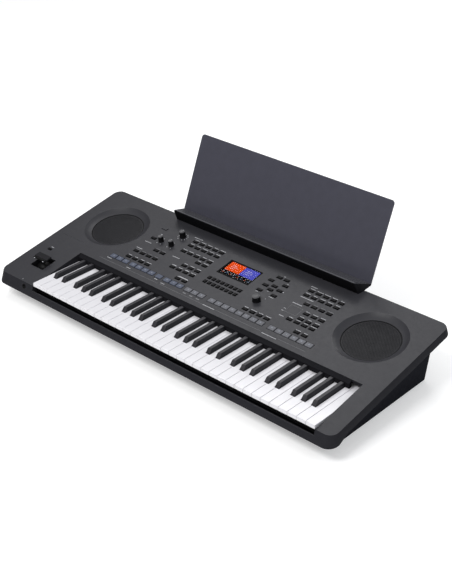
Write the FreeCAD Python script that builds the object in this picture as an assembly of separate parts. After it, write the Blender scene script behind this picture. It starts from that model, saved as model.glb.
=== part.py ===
"""Arranger keyboard with a sloped control panel, two speakers, a joystick and a lift-off music rest.

X runs along the keys from bass to treble, Y from the player to the back, and Z up from the table.
Most of the case is drawn on its sloped panel: x along it, s up the slope from the front edge, and
h square to it, with h = 0 on the panel's top face.
"""
import math
import os

import FreeCAD
import Part

V = FreeCAD.Vector

# Case: one sloped slab over a wedge-shaped tub, with the keys between two cheeks in front
CASE_WIDTH = 1004.0
PANEL_LENGTH = 412.5
LEFT_CHEEK = 121.3
RIGHT_CHEEK = 43.9
FALL_S = 164.0
FALL_LIP = 5.5
PANEL_ANGLE = 10.4
PANEL_FRONT_Z = 62.0
FRONT_EDGE_S = 9.5
FRONT_REACH = 4.0
FRONT_SKIRT = 26.0
SIDE_SKIRT = 18.0
SKIRT_BEND = (22.0, 52.0)
SKIRT_FLARE = 5.0
EDGE_BREAK = 1.5
EDGE_FLARE = 1.0
CORNER_RADIUS = 20.0
CASE_WALL = 2.5
PANEL_WALL = 3.0
TUB_SIDE_INSET = 16.5
TUB_TAPER = 12.0
TUB_FRONT_S = -4.0
TUB_TOE_Y = 78.0
REAR_OVERHANG = 25.7
TUB_CORNER_RADIUS = 10.0
FLANGE_WALL = 3.0
FLANGE_GAP = 1.0
FOOT_HEIGHT = 4.0
FOOT_RADIUS = 9.0
FOOT_DRAFT = 1.0
FOOT_SIDE_INSET = 82.0
FOOT_FRONT_Y = 96.0
FOOT_REAR_INSET = 26.0
CREASE_SIZE = (93.0, 1.2)
CREASE_S = 197.0
CREASE_DEPTH = 0.5
CREASE_INSET = 8.0
CUT_OVER = 1.0

# Screws that pull the lower case up against posts in the upper case
SCREW_SHANK_RADIUS = 1.5
SCREW_HEAD_RADIUS = 3.2
SCREW_HEAD_HEIGHT = 2.0
SCREW_LENGTH = 9.0
SCREW_GAP = 0.05
POST_RADIUS = 4.0
SIDE_SCREW_INSET = 7.5
SIDE_SCREW_INSETS = (72.0, 42.5)
REAR_SCREW_INSET = 11.0

# Keys
WHITE_KEYS = 36
NOTES = "cdefgab"
OCTAVE_KEYS = len(NOTES)
OPENING_GAP = 1.0
KEY_TOP_Z = 72.0
KEY_FRONT_Y = 9.5
KEY_DEPTH = 9.0
KEY_SIDE_GAP = 0.8
KEY_NOSE_RADIUS = 2.0
KEY_WALL = 2.0
KEY_TOP_WALL = 3.0
KEY_LENGTH = 193.0
KEY_SLOPE_LENGTH = 22.0
KEY_DIP_ANGLE = 3.0
BLACK_START = 49.6
BLACK_LENGTH = 112.0
BLACK_DRAW_IN = 1.3
BLACK_RISE = 12.0
BLACK_NOSE_SLOPE = 6.5
BLACK_EDGE = 1.2
BLACK_GAP = 1.0
PIVOT_RADIUS = 3.0
PIVOT_CLEARANCE = 0.08
RAIL_DROP = 21.0

# Key chassis and what lies on it
CHASSIS_Z = 44.0
CHASSIS_WALL = 3.0
CHASSIS_FRONT_Y = 22.0
CHASSIS_RAIL = 10.0
CHASSIS_RAIL_TOP = 3.5
FELT_DEPTH = 16.0
FELT_THICKNESS = 1.5
KEY_STOP_GAP = 0.4
CONTACT_BOARD_Y = 96.0
CONTACT_BOARD_DEPTH = 52.0
BOARD_THICKNESS = 1.6
RUBBER_DEPTH = 22.0
RUBBER_TOP_DEPTH = 11.0
RUBBER_HEIGHT = 3.4
RUBBER_STRIPS = 5
RUBBER_SPACE = 3.0
SUPPORT_RIBS = 7
RIB_WALL = 3.0

# Panel buttons
BUTTON_SIZE = (14.0, 7.2)
BUTTON_RISE = 2.2
DISPLAY_BUTTON_SIZE = (8.4, 9.0)
DISPLAY_BUTTON_PITCH = 13.1
DISPLAY_BUTTON_DROPS = (68.5, 52.5)
DISPLAY_BUTTON_COUNT = 8
NAVIGATION_DROPS = (3.0, 18.0)
PAD_SPACE = 2.6
PAD_LENGTH = 13.2
PAD_RISE = 1.4
STANDBY_SIZE = (17.0, 9.0)
HOLD_SIZE = (11.0, 6.5)
HOLD_INSET = 42.6
HOLD_S = 132.8
BUTTON_CLEARANCE = 0.35
BUTTON_FLANGE = 1.0
BUTTON_FLANGE_WALL = 1.6
BUTTON_SEAT_GAP = 0.1
BUTTON_TRAVEL = 1.0
BUTTON_STOP_GAP = 0.4
BUTTON_DRAFT = 0.5

# Boards under the panel
MAT_THICKNESS = 2.4
BOARD_FRONT_GAP = 16.0
BOARD_REAR_GAP = 15.0
MAT_INSET = 8.0
MAT_FRONT_INSET = 9.0
MAT_GAP = 1.0
DISH_GAP = 1.5
BOARD_POST_RADIUS = 3.0

# Display
DISPLAY_SIZE = (96.5, 55.5)
LENS_WALL = 1.5
LENS_LIP = 2.0
LENS_GAP = 0.2
MODULE_MARGIN = 4.0

# Rotary controls: radius and height of each knob
VOLUME_KNOB = (8.0, 16.0)
CONTROL_KNOB = (7.0, 14.0)
DIAL_KNOB = (10.0, 13.0)
KNOB_GAP = 0.6
KNOB_TAPER = 0.8
KNOB_CROWN = 1.2
KNOB_GRIP_COUNT = 10
KNOB_GRIP_RADIUS = 1.0
KNOB_GRIP_DEPTH = 0.5
SPINDLE_RADIUS = 3.0
SPINDLE_CLEARANCE = 0.06
SPINDLE_END_GAP = 0.3
POT_SIZE = 11.0

# Speakers
DISH_DEPTH = 9.0
DISH_RING = 16.2
DISH_SAG = 2.0
GRILLE_WALL = 1.5
GRILLE_CROWN = 1.5
GRILLE_FIT = 0.1
GRILLE_LEDGE = 4.5
DISH_FLOOR = 3.0
FRAME_INSET = 1.8
FRAME_DEPTH = 46.0
FRAME_WALL = 1.8
FRAME_FLANGE = 6.0
FRAME_SHOULDER = 8.0
MAGNET_HEIGHT = 16.0
BASKET_WINDOW_COUNT = 6
CONE_GAP = 0.8
CONE_TRAVEL = 1.5
CONE_THROAT_RADIUS = 15.0
CAP_CROWN = 3.6
CAP_SHOULDER_RADIUS = 9.0
CONE_DEPTH = 18.0
CONE_WALL = 1.2
COIL_RADIUS = 12.5
COIL_LENGTH = 12.0
COIL_RUNNING_GAP = 0.6

# Joystick on the left cheek
JOYSTICK_INSET = 70.0
JOYSTICK_S = 86.0
RECESS_SIZE = 44.0
HOUSING_WALL = 2.0
HOUSING_DEPTH = 32.0
STICK_PIVOT_H = -18.0
DOME_RADIUS = 18.5
DOME_WALL = 1.5
DOME_HALF_ANGLE = 55.0
YOKE_SIZE = 22.0
YOKE_RING = 4.0
YOKE_HEIGHT = 6.0
TRUNNION_RADIUS = 2.0
LEVER_PIN_RADIUS = 1.5
PIN_CLEARANCE = 0.05
STICK_RADIUS = 3.5
STICK_HUB = 6.0
PADDLE_SIZE = (42.0, 17.0)
PADDLE_WALL = 4.0
PADDLE_EDGE = 1.3
PADDLE_H = 12.0

# Sockets
HEADPHONE_INSET = 90.0
HEADPHONE_Z = 52.5
PLUG_RADIUS = 3.25
SOCKET_COLLAR_RADIUS = 6.5
SOCKET_BODY = 13.0
SOCKET_LENGTH = 24.0
SOCKET_BORE = 18.0
SOCKET_FIT = 0.05
REAR_SOCKET_Z = 66.0
INLET_RADIUS = 2.8
INLET_COLLAR_RADIUS = 5.5

# Main board on bosses in the tub
MAIN_BOARD_FRONT_GAP = 37.5
MAIN_BOARD_REAR_GAP = 28.0
MAIN_BOARD_BOSS = 16.0

# Music rest: an overhanging ledge above the panel's rear edge and a plate leaning back
REST_WIDTH = 570.0
REST_FOOT_INSET = 17.7
LEDGE_UNDERCUT = 12.6
LEDGE_RISE = 33.3
LEDGE_DEPTH = 46.6
LEDGE_FALL = 16.2
LEDGE_LIP = 5.0
LEDGE_TAPER = 11.0
REST_WALL = 3.2
REST_PLATE_LENGTH = 190.5
REST_LEAN = 21.6
REST_CORNER_RADIUS = 8.0
REST_RIB_WALL = 3.0
REST_SEAT_GAP = 0.1
TONGUE_WIDTH = 50.0
TONGUE_DEPTH = 10.0
TONGUE_X = (-200.0, 0.0, 200.0)
TONGUE_CLEARANCE = 0.35

SIN = math.sin(math.radians(PANEL_ANGLE))
COS = math.cos(math.radians(PANEL_ANGLE))
LEAN_SIN = math.sin(math.radians(REST_LEAN))
LEAN_COS = math.cos(math.radians(REST_LEAN))
KEY_LEFT = -CASE_WIDTH / 2 + LEFT_CHEEK
KEY_RIGHT = CASE_WIDTH / 2 - RIGHT_CHEEK
KEY_PITCH = (KEY_RIGHT - KEY_LEFT) / WHITE_KEYS
BLACK_WIDTH = 0.48 * KEY_PITCH
OPENING_LEFT = KEY_LEFT - OPENING_GAP
OPENING_RIGHT = KEY_RIGHT + OPENING_GAP
KEY_BOTTOM_Z = KEY_TOP_Z - KEY_DEPTH
PIVOT_Y = KEY_FRONT_Y + KEY_LENGTH
PIVOT_Z = KEY_BOTTOM_Z + PIVOT_RADIUS
BUTTON_BOTTOM_H = -PANEL_WALL - BUTTON_SEAT_GAP - BUTTON_FLANGE_WALL
MAT_TOP_H = BUTTON_BOTTOM_H - BUTTON_TRAVEL - BUTTON_STOP_GAP
BOARD_TOP_H = MAT_TOP_H - MAT_THICKNESS
FRONT_FLANGE_H = -FRONT_SKIRT + FLANGE_WALL
SIDE_FLANGE_H = -SIDE_SKIRT + FLANGE_WALL
FLOOR_Z = FOOT_HEIGHT + CASE_WALL
TUB_REAR_Y = PANEL_LENGTH * COS - REAR_OVERHANG
REST_FOOT_Y = PANEL_LENGTH * COS - REST_FOOT_INSET
LEDGE_FRONT_Y = REST_FOOT_Y - LEDGE_UNDERCUT
CHASSIS_REAR_Y = PIVOT_Y + CHASSIS_RAIL
DISH_BOTTOM_H = -DISH_DEPTH - GRILLE_WALL - DISH_FLOOR
PLATE_FOOT_Y = LEDGE_FRONT_Y + LEDGE_DEPTH
REST_REAR_Y = PLATE_FOOT_Y + REST_PLATE_LENGTH * LEAN_SIN + REST_WALL * LEAN_COS
CASE_FRONT_Y = -FRONT_REACH * COS + FRONT_SKIRT * SIN
MIDDLE_Y = (CASE_FRONT_Y + REST_REAR_Y) / 2
PANEL_PLACE = FreeCAD.Placement(V(0, -MIDDLE_Y, PANEL_FRONT_Z), FreeCAD.Rotation(V(1, 0, 0), PANEL_ANGLE))
CASE_SLOPE = FreeCAD.Placement(V(0, 0, PANEL_FRONT_Z), PANEL_PLACE.Rotation)
CASE_PLACE = FreeCAD.Placement(V(0, -MIDDLE_Y, 0), FreeCAD.Rotation())


def across(share):
    """Distance along the case from its middle, as a share of its width."""
    return share * CASE_WIDTH


def up(share):
    """Distance up the panel, as a share of the way from the fall behind the keys to the rear edge."""
    return FALL_S + share * (PANEL_LENGTH - FALL_S)


# Layout of the panel: columns along it and rows up it
COLUMN_PITCH = across(0.0206)
SONG_X = across(-0.2684)
STYLE_X = across(-0.1689)
MENU_X = across(0.0986)
VOICE_X = across(0.1823)
NAVIGATION_X = across(0.1016)
ROW_TOP = up(0.7364)
ROW_SECOND = up(0.666)
ROW_THIRD = up(0.5634)
ROW_FOURTH = up(0.495)
ROW_FIFTH = up(0.3944)
ROW_SIXTH = up(0.3199)
ROW_LOWEST = up(0.2153)
ROW_TEMPO = up(0.4266)
ROW_EFFECT_TOP = up(0.4547)
ROW_EFFECT_NEXT = up(0.3742)
PAD_PITCH = across(0.0203)
PAD_SIZE = (PAD_PITCH - PAD_SPACE, PAD_LENGTH)
PAD_ROW = up(0.1408)
STANDBY_PLACE = (across(-0.2723), up(0.7392))
HOLD_PLACE = (-CASE_WIDTH / 2 + HOLD_INSET, HOLD_S)
DISPLAY_S = up(0.5996)
VOLUME = (across(-0.2105), up(0.7324)) + VOLUME_KNOB
CONTROL_LEFT = (across(-0.2439), up(0.5674)) + CONTROL_KNOB
CONTROL_RIGHT = (across(-0.2103), up(0.5674)) + CONTROL_KNOB
DIAL = (across(0.1011), up(0.3622)) + DIAL_KNOB
ROTARY_PLACES = (VOLUME, CONTROL_LEFT, CONTROL_RIGHT, DIAL)
BOARD_FRONT_S = FALL_S + BOARD_FRONT_GAP
BOARD_REAR_S = ROW_TOP + BOARD_REAR_GAP
LEFT_BOARD = (across(-0.3127), across(-0.0657), BOARD_FRONT_S, BOARD_REAR_S)
RIGHT_BOARD = (across(-0.0618), across(0.3108), BOARD_FRONT_S, BOARD_REAR_S)
SPEAKERS = {"left": across(-0.384), "right": across(0.384)}
SPEAKER_S = up(0.5151)
DISH_RADIUS = 0.1988 * PANEL_LENGTH
GRILLE_RADIUS = DISH_RADIUS - DISH_RING
GRILLE_FLAT = 0.55 * GRILLE_RADIUS
FRAME_RADIUS = GRILLE_RADIUS - FRAME_INSET
MAGNET_RADIUS = 0.5625 * FRAME_RADIUS
BASKET_WINDOW = MAGNET_RADIUS / 2
JOYSTICK_X = -CASE_WIDTH / 2 + JOYSTICK_INSET
HEADPHONE_X = -CASE_WIDTH / 2 + HEADPHONE_INSET
PEDAL_X = (across(-0.3287), across(-0.2988))
LINE_OUT_X = (across(-0.249), across(-0.2191))
INLET_X = across(-0.1643)
MAIN_BOARD = (across(-0.1793), across(0.1195), CHASSIS_REAR_Y + MAIN_BOARD_FRONT_GAP,
              TUB_REAR_Y - MAIN_BOARD_REAR_GAP)
FOOT_SIDE_X = CASE_WIDTH / 2 - FOOT_SIDE_INSET
FOOT_REAR_Y = TUB_REAR_Y - FOOT_REAR_INSET
SIDE_SCREW_S = (SIDE_SCREW_INSETS[0], PANEL_LENGTH / 2, PANEL_LENGTH - SIDE_SCREW_INSETS[1])
REAR_SCREW_X = (across(-0.3187), across(-0.1046), across(0.1046), across(0.3187))
REAR_SCREW_S = PANEL_LENGTH - REAR_SCREW_INSET


def box(low, high):
    """Box between two corners."""
    return Part.makeBox(high[0] - low[0], high[1] - low[1], high[2] - low[2], V(*low))


def plate(x, s, size, low_h, high_h):
    """Upright block centred on a place on the panel."""
    return box((x - size[0] / 2, s - size[1] / 2, low_h), (x + size[0] / 2, s + size[1] / 2, high_h))


def peg(x, s, radius, low_h, high_h):
    """Round post square to the panel."""
    return Part.makeCylinder(radius, high_h - low_h, V(x, s, low_h))


def along_x(points, x_low, x_high):
    """Prism along X from a closed outline of (y, z) points."""
    outline = [V(x_low, y, z) for y, z in points]
    return Part.Face(Part.makePolygon(outline + outline[:1])).extrude(V(x_high - x_low, 0, 0))


def turned(points, x=0.0, s=0.0):
    """Solid of revolution about an axis square to the panel, from (radius, h) points."""
    outline = [V(radius, 0, h) for radius, h in points]
    face = Part.Face(Part.makePolygon(outline + outline[:1]))
    solid = face.revolve(V(0, 0, 0), V(0, 0, 1), 360)
    solid.translate(V(x, s, 0))
    return solid


def rounded_outline(x_low, x_high, y_low, y_high, z, radius):
    """Closed wire of a rectangle with round corners, at height z."""
    corners = [(x_high - radius, y_low + radius, -90), (x_high - radius, y_high - radius, 0),
               (x_low + radius, y_high - radius, 90), (x_low + radius, y_low + radius, 180)]
    edges = []
    for number, (x, y, start) in enumerate(corners):
        arc = Part.makeCircle(radius, V(x, y, z), V(0, 0, 1), start, start + 90)
        following = corners[(number + 1) % 4]
        turn = math.radians(start + 90)
        here = V(x + radius * math.cos(turn), y + radius * math.sin(turn), z)
        there = V(following[0] + radius * math.cos(turn), following[1] + radius * math.sin(turn), z)
        edges += [arc, Part.makeLine(here, there)]
    return Part.Wire(edges)


def moved(shape, place):
    """Copy of a shape carried from its drawing frame into the case."""
    copy = shape.copy()
    copy.Placement = place.multiply(copy.Placement)
    return copy


def on_panel(shape):
    return moved(shape, PANEL_PLACE)


def in_case(shape):
    return moved(shape, CASE_PLACE)


def group(shapes):
    return Part.Compound(shapes)


def button_rows():
    """Rows of each button group: left column, columns taken from it, and height up the panel."""
    one, two, three, four, five = (range(count) for count in (1, 2, 3, 4, 5))
    return {
        "song_buttons": [(SONG_X, one, ROW_THIRD), (SONG_X, four[2:], ROW_TEMPO), (SONG_X, four, ROW_SIXTH),
                         (SONG_X, four, ROW_LOWEST)],
        "style_buttons": [(STYLE_X, five, ROW_TOP), (STYLE_X, five, ROW_SECOND), (STYLE_X, five, ROW_THIRD),
                          (STYLE_X, five[3:], ROW_FOURTH)],
        "track_buttons": [(STYLE_X, five[2:], ROW_FIFTH), (STYLE_X, five[1:], ROW_SIXTH),
                          (STYLE_X, five[3:], ROW_LOWEST)],
        "menu_buttons": [(MENU_X, four, ROW_LOWEST)],
        "voice_buttons": [(VOICE_X, five, ROW_TOP), (VOICE_X, five, ROW_SECOND)],
        "effect_buttons": [(VOICE_X, five[1:], ROW_THIRD), (VOICE_X, five[2:], ROW_EFFECT_TOP),
                           (VOICE_X, five[2:], ROW_EFFECT_NEXT), (VOICE_X, five[1:], ROW_SIXTH),
                           (VOICE_X, five[3:], ROW_LOWEST)],
    }


def pad_rows():
    """Rows of each pad group along the front of the panel: middle of the first pad, and pads."""
    return {
        "intro_pads": [(across(-0.2998), range(3))],
        "variation_pads": [(across(-0.2348), range(4)), (across(-0.1489), range(1))],
        "ending_pads": [(across(-0.1231), range(3))],
        "start_pads": [(across(-0.0564), range(3))],
        "registration_pads": [(across(0.0163), range(8))],
        "one_touch_pads": [(across(0.1907), range(6))],
    }


def button_places():
    """Every button group by name, with its places on the panel, cap size and rise."""
    groups = {}
    for name, rows in button_rows().items():
        places = [(x + COLUMN_PITCH * column, s) for x, columns, s in rows for column in columns]
        groups[name] = (places, BUTTON_SIZE, BUTTON_RISE)
    half = COLUMN_PITCH / 2
    navigation = [(NAVIGATION_X - half, ROW_TOP), (NAVIGATION_X + half, ROW_TOP)]
    for side in (-COLUMN_PITCH, COLUMN_PITCH):
        navigation += [(NAVIGATION_X + side, ROW_SECOND - half - half * step) for step in (-1, 1, 3)]
    navigation += [(NAVIGATION_X, ROW_SECOND - half - drop) for drop in NAVIGATION_DROPS]
    groups["navigation_buttons"] = (navigation, BUTTON_SIZE, BUTTON_RISE)
    first = -DISPLAY_BUTTON_PITCH * (DISPLAY_BUTTON_COUNT - 1) / 2
    display = [(first + DISPLAY_BUTTON_PITCH * step, DISPLAY_S - drop) for drop in DISPLAY_BUTTON_DROPS
               for step in range(DISPLAY_BUTTON_COUNT)]
    groups["display_buttons"] = (display, DISPLAY_BUTTON_SIZE, BUTTON_RISE)
    for name, rows in pad_rows().items():
        places = [(x + PAD_PITCH * step, PAD_ROW) for x, steps in rows for step in steps]
        groups[name] = (places, PAD_SIZE, PAD_RISE)
    groups["standby_button"] = ([STANDBY_PLACE], STANDBY_SIZE, BUTTON_RISE)
    groups["hold_button"] = ([HOLD_PLACE], HOLD_SIZE, BUTTON_RISE)
    return groups


def button(x, s, size, rise):
    """Cap with a slight draft that rises through the panel from a flange held under it."""
    flange_top = -PANEL_WALL - BUTTON_SEAT_GAP
    flange_size = [side + 2 * BUTTON_FLANGE for side in size]
    flange = plate(x, s, flange_size, BUTTON_BOTTOM_H, flange_top)
    outlines = []
    for h, draft in ((flange_top, 0.0), (0.0, 0.0), (rise, BUTTON_DRAFT)):
        a, b = size[0] / 2 - draft, size[1] / 2 - draft
        points = [V(x - a, s - b, h), V(x + a, s - b, h), V(x + a, s + b, h), V(x - a, s + b, h)]
        outlines.append(Part.makePolygon(points + points[:1]))
    return flange.fuse(Part.makeLoft(outlines, True, True)).removeSplitter()


def case_outline(h, inset=0.0):
    """Outline of the slab at one height: a sharply eased top edge, then a flared skirt with a raked front."""
    if h > -EDGE_BREAK:
        share = -h / EDGE_BREAK
        wide = EDGE_FLARE * share - inset
        front = FRONT_EDGE_S - EDGE_FLARE * share + inset
    else:
        share = (-h - EDGE_BREAK) / (FRONT_SKIRT - EDGE_BREAK)
        wide = EDGE_FLARE + (SKIRT_FLARE - EDGE_FLARE) * share - inset
        front = FRONT_EDGE_S - EDGE_FLARE - (FRONT_EDGE_S - EDGE_FLARE + FRONT_REACH) * share + inset
    return rounded_outline(-CASE_WIDTH / 2 - wide, CASE_WIDTH / 2 + wide, front, PANEL_LENGTH + wide, h,
                           CORNER_RADIUS + wide)


def skirt_space(inset, top_h):
    """Room inside the skirt, a given distance from its outer faces."""
    return Part.makeLoft([case_outline(top_h, inset), case_outline(-FRONT_SKIRT, inset)], True, True)


def skirt_layer(low_h, high_h):
    """Prism across the case between two heights, its bends following the skirt's lower edge."""
    bend_front, bend_rear = SKIRT_BEND
    front, rear = -PANEL_LENGTH, 2 * PANEL_LENGTH
    step = FRONT_SKIRT - SIDE_SKIRT
    outline = [(front, low_h), (bend_front, low_h), (bend_rear, low_h + step), (rear, low_h + step),
               (rear, high_h + step), (bend_rear, high_h + step), (bend_front, high_h), (front, high_h)]
    return along_x(outline, -CASE_WIDTH, CASE_WIDTH)


def screw_places():
    side = CASE_WIDTH / 2 - SIDE_SCREW_INSET
    places = [(x, s) for x in (-side, side) for s in SIDE_SCREW_S]
    return places + [(x, REAR_SCREW_S) for x in REAR_SCREW_X]


def board_corners(area):
    """Post places at the corners and the middle of a panel board's long edges."""
    inset = BOARD_POST_RADIUS
    xs = (area[0] + inset, (area[0] + area[1]) / 2, area[1] - inset)
    return [(x, s) for x in xs for s in (area[2] + inset, area[3] - inset)]


def dish_hollow(x):
    """Round hollow over a speaker: a sagging dish, a step for the grille and the throat below it."""
    floor_h = -DISH_DEPTH
    seat = floor_h - GRILLE_WALL
    grille = GRILLE_RADIUS + GRILLE_FIT
    throat = GRILLE_RADIUS - GRILLE_LEDGE
    sag = V((DISH_RADIUS + grille) / 2 - DISH_SAG, 0, floor_h / 2 - DISH_SAG)
    edge, foot = V(DISH_RADIUS, 0, 0), V(grille, 0, floor_h)
    steps = [(grille, seat), (throat, seat), (throat, DISH_BOTTOM_H), (0, DISH_BOTTOM_H), (0, CUT_OVER),
             (DISH_RADIUS, CUT_OVER)]
    lower = [foot] + [V(radius, 0, h) for radius, h in steps]
    wire = Part.Wire([Part.Arc(edge, sag, foot).toShape()] + Part.makePolygon(lower + [edge]).Edges)
    hollow = Part.Face(wire).revolve(V(0, 0, 0), V(0, 0, 1), 360)
    hollow.translate(V(x, SPEAKER_S, 0))
    return hollow


def upper_case():
    """Slab moulded with its flared skirt, dishes, posts and cheek walls, then pierced for the controls."""
    slab = Part.makeLoft([case_outline(0), case_outline(-EDGE_BREAK), case_outline(-FRONT_SKIRT)], True, True)
    hollow = skirt_space(CASE_WALL, -PANEL_WALL)
    fall = FALL_S + CASE_WALL
    kept = [box((OPENING_LEFT - CASE_WALL, 0, FRONT_FLANGE_H), (OPENING_LEFT, fall, 0)),
            box((OPENING_RIGHT, 0, FRONT_FLANGE_H), (OPENING_RIGHT + CASE_WALL, fall, 0)),
            box((OPENING_LEFT, FALL_S - CASE_WALL, -FALL_LIP), (OPENING_RIGHT, fall, 0))]
    kept += [peg(x, s, POST_RADIUS, SIDE_FLANGE_H, 0) for x, s in screw_places()]
    for area in (LEFT_BOARD, RIGHT_BOARD):
        kept += [peg(x, s, BOARD_POST_RADIUS, BOARD_TOP_H, 0) for x, s in board_corners(area)]
    kept += [peg(x, SPEAKER_S, DISH_RADIUS + CASE_WALL, DISH_BOTTOM_H, 0) for x in SPEAKERS.values()]
    case = slab.cut(hollow.cut(kept))

    cuts = [peg(x, s, SCREW_SHANK_RADIUS + SCREW_GAP, SIDE_FLANGE_H, SIDE_FLANGE_H + SCREW_LENGTH)
            for x, s in screw_places()]
    cuts.append(skirt_layer(-2 * FRONT_SKIRT, -FRONT_SKIRT))
    cuts += [dish_hollow(x) for x in SPEAKERS.values()]
    for places, size, rise in button_places().values():
        hole = [side + 2 * BUTTON_CLEARANCE for side in size]
        cuts += [plate(x, s, hole, -PANEL_WALL, CUT_OVER) for x, s in places]
    for x, s, radius, height in ROTARY_PLACES:
        cuts.append(peg(x, s, SPINDLE_RADIUS + KNOB_GAP, -PANEL_WALL, CUT_OVER))
    lens_hole = [side + 2 * LENS_GAP for side in DISPLAY_SIZE]
    window = [side - 2 * LENS_LIP for side in DISPLAY_SIZE]
    cuts.append(plate(0, DISPLAY_S, lens_hole, -LENS_WALL, CUT_OVER))
    cuts.append(plate(0, DISPLAY_S, window, -PANEL_WALL, CUT_OVER))
    cuts.append(plate(JOYSTICK_X, JOYSTICK_S, (RECESS_SIZE, RECESS_SIZE), -PANEL_WALL, CUT_OVER))
    crease_x = -CASE_WIDTH / 2 + CREASE_INSET + CREASE_SIZE[0] / 2
    cuts.append(plate(crease_x, CREASE_S, CREASE_SIZE, -CREASE_DEPTH, CUT_OVER))
    case = moved(case.cut(cuts), CASE_SLOPE)

    fall_y = FALL_S * COS
    above = PANEL_FRONT_Z + PANEL_LENGTH
    opening = box((OPENING_LEFT, -FRONT_SKIRT, KEY_TOP_Z - RAIL_DROP), (OPENING_RIGHT, fall_y, above))
    jack_hole = Part.makeCylinder(SOCKET_COLLAR_RADIUS + SOCKET_FIT, FRONT_SKIRT,
                                  V(HEADPHONE_X, -FRONT_SKIRT / 2, HEADPHONE_Z), V(0, 1, 0))
    slots = [tongue(x, TONGUE_CLEARANCE) for x in TONGUE_X]
    return in_case(case.cut([opening, jack_hole] + slots))


def lower_case():
    """Wedge-shaped tub with a flange that closes the overhang under the skirt."""
    rear_s = (TUB_REAR_Y + SIDE_FLANGE_H * SIN) / COS
    side = CASE_WIDTH / 2 - TUB_SIDE_INSET

    def tub(wall):
        rim = rounded_outline(-side + wall, side - wall, TUB_FRONT_S + wall, rear_s - wall, SIDE_FLANGE_H,
                              TUB_CORNER_RADIUS)
        rim.Placement = CASE_SLOPE
        low = side - TUB_TAPER - wall
        base = rounded_outline(-low, low, TUB_TOE_Y + wall, TUB_REAR_Y - wall, FOOT_HEIGHT + wall,
                               TUB_CORNER_RADIUS)
        return Part.makeLoft([rim, base], True, True)

    inside = skirt_space(CASE_WALL + FLANGE_GAP, -PANEL_WALL)
    flange = inside.common(skirt_layer(-FRONT_SKIRT, FRONT_FLANGE_H))
    above = skirt_layer(FRONT_FLANGE_H, FRONT_SKIRT)
    shell = tub(0).cut(moved(above, CASE_SLOPE)).fuse(moved(flange, CASE_SLOPE))
    shell = shell.cut(tub(CASE_WALL))

    rib_front = TUB_TOE_Y + 2 * CASE_WALL
    spread = (KEY_RIGHT - KEY_LEFT) / SUPPORT_RIBS
    ribs = []
    for number in range(SUPPORT_RIBS):
        x = KEY_LEFT + spread * (number + 0.5)
        ribs.append(box((x - RIB_WALL / 2, rib_front, FOOT_HEIGHT + CASE_WALL / 2),
                        (x + RIB_WALL / 2, CHASSIS_REAR_Y, CHASSIS_Z)))
    for x, y in main_board_bosses():
        ribs.append(Part.makeCylinder(POST_RADIUS, MAIN_BOARD_BOSS + CASE_WALL / 2,
                                      V(x, y, FLOOR_Z - CASE_WALL / 2)))
    shell = shell.fuse(ribs)

    holes = [moved(peg(x, s, SCREW_SHANK_RADIUS + SCREW_GAP, -SIDE_SKIRT, SIDE_FLANGE_H), CASE_SLOPE)
             for x, s in screw_places()]
    for x in PEDAL_X + LINE_OUT_X:
        holes.append(rear_bore(x, SOCKET_COLLAR_RADIUS + SOCKET_FIT))
    holes.append(rear_bore(INLET_X, INLET_COLLAR_RADIUS + SOCKET_FIT))
    return in_case(shell.cut(holes))


def rear_bore(x, radius):
    """Round hole through the tub's rear wall."""
    start = V(x, TUB_REAR_Y - 2 * CASE_WALL, REAR_SOCKET_Z)
    return Part.makeCylinder(radius, 4 * CASE_WALL, start, V(0, 1, 0))


def main_board_bosses():
    inset = 2 * POST_RADIUS
    return [(x, y) for x in (MAIN_BOARD[0] + inset, MAIN_BOARD[1] - inset)
            for y in (MAIN_BOARD[2] + inset, MAIN_BOARD[3] - inset)]


def main_board():
    low = FLOOR_Z + MAIN_BOARD_BOSS
    left, right, front, rear = MAIN_BOARD
    return in_case(box((left, front, low), (right, rear, low + BOARD_THICKNESS)))


def rubber_feet():
    feet = []
    for x in (-FOOT_SIDE_X, 0.0, FOOT_SIDE_X):
        for y in (FOOT_FRONT_Y, FOOT_REAR_Y):
            feet.append(Part.makeCone(FOOT_RADIUS - FOOT_DRAFT, FOOT_RADIUS, FOOT_HEIGHT, V(x, y, 0)))
    return in_case(group(feet))


def case_screws():
    screws = []
    for x, s in screw_places():
        head = peg(x, s, SCREW_HEAD_RADIUS, -SIDE_SKIRT - SCREW_HEAD_HEIGHT, -SIDE_SKIRT)
        shank = peg(x, s, SCREW_SHANK_RADIUS, -SIDE_SKIRT, -SIDE_SKIRT + SCREW_LENGTH)
        screws.append(head.fuse(shank))
    return on_panel(group(screws))


# Keys
def black_centres():
    """Middle of each black key, with the number of the white key on its left."""
    centres = {}
    for octave in range(WHITE_KEYS // OCTAVE_KEYS):
        first = octave * OCTAVE_KEYS
        start = KEY_LEFT + first * KEY_PITCH
        low_tail = 3 * KEY_PITCH / 5
        high_tail = 4 * KEY_PITCH / 7
        for number in range(2):
            centres[first + number] = start + low_tail * (1.5 + 2 * number)
        for number in range(3):
            centres[first + 3 + number] = start + 3 * KEY_PITCH + high_tail * (1.5 + 2 * number)
    return centres


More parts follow.
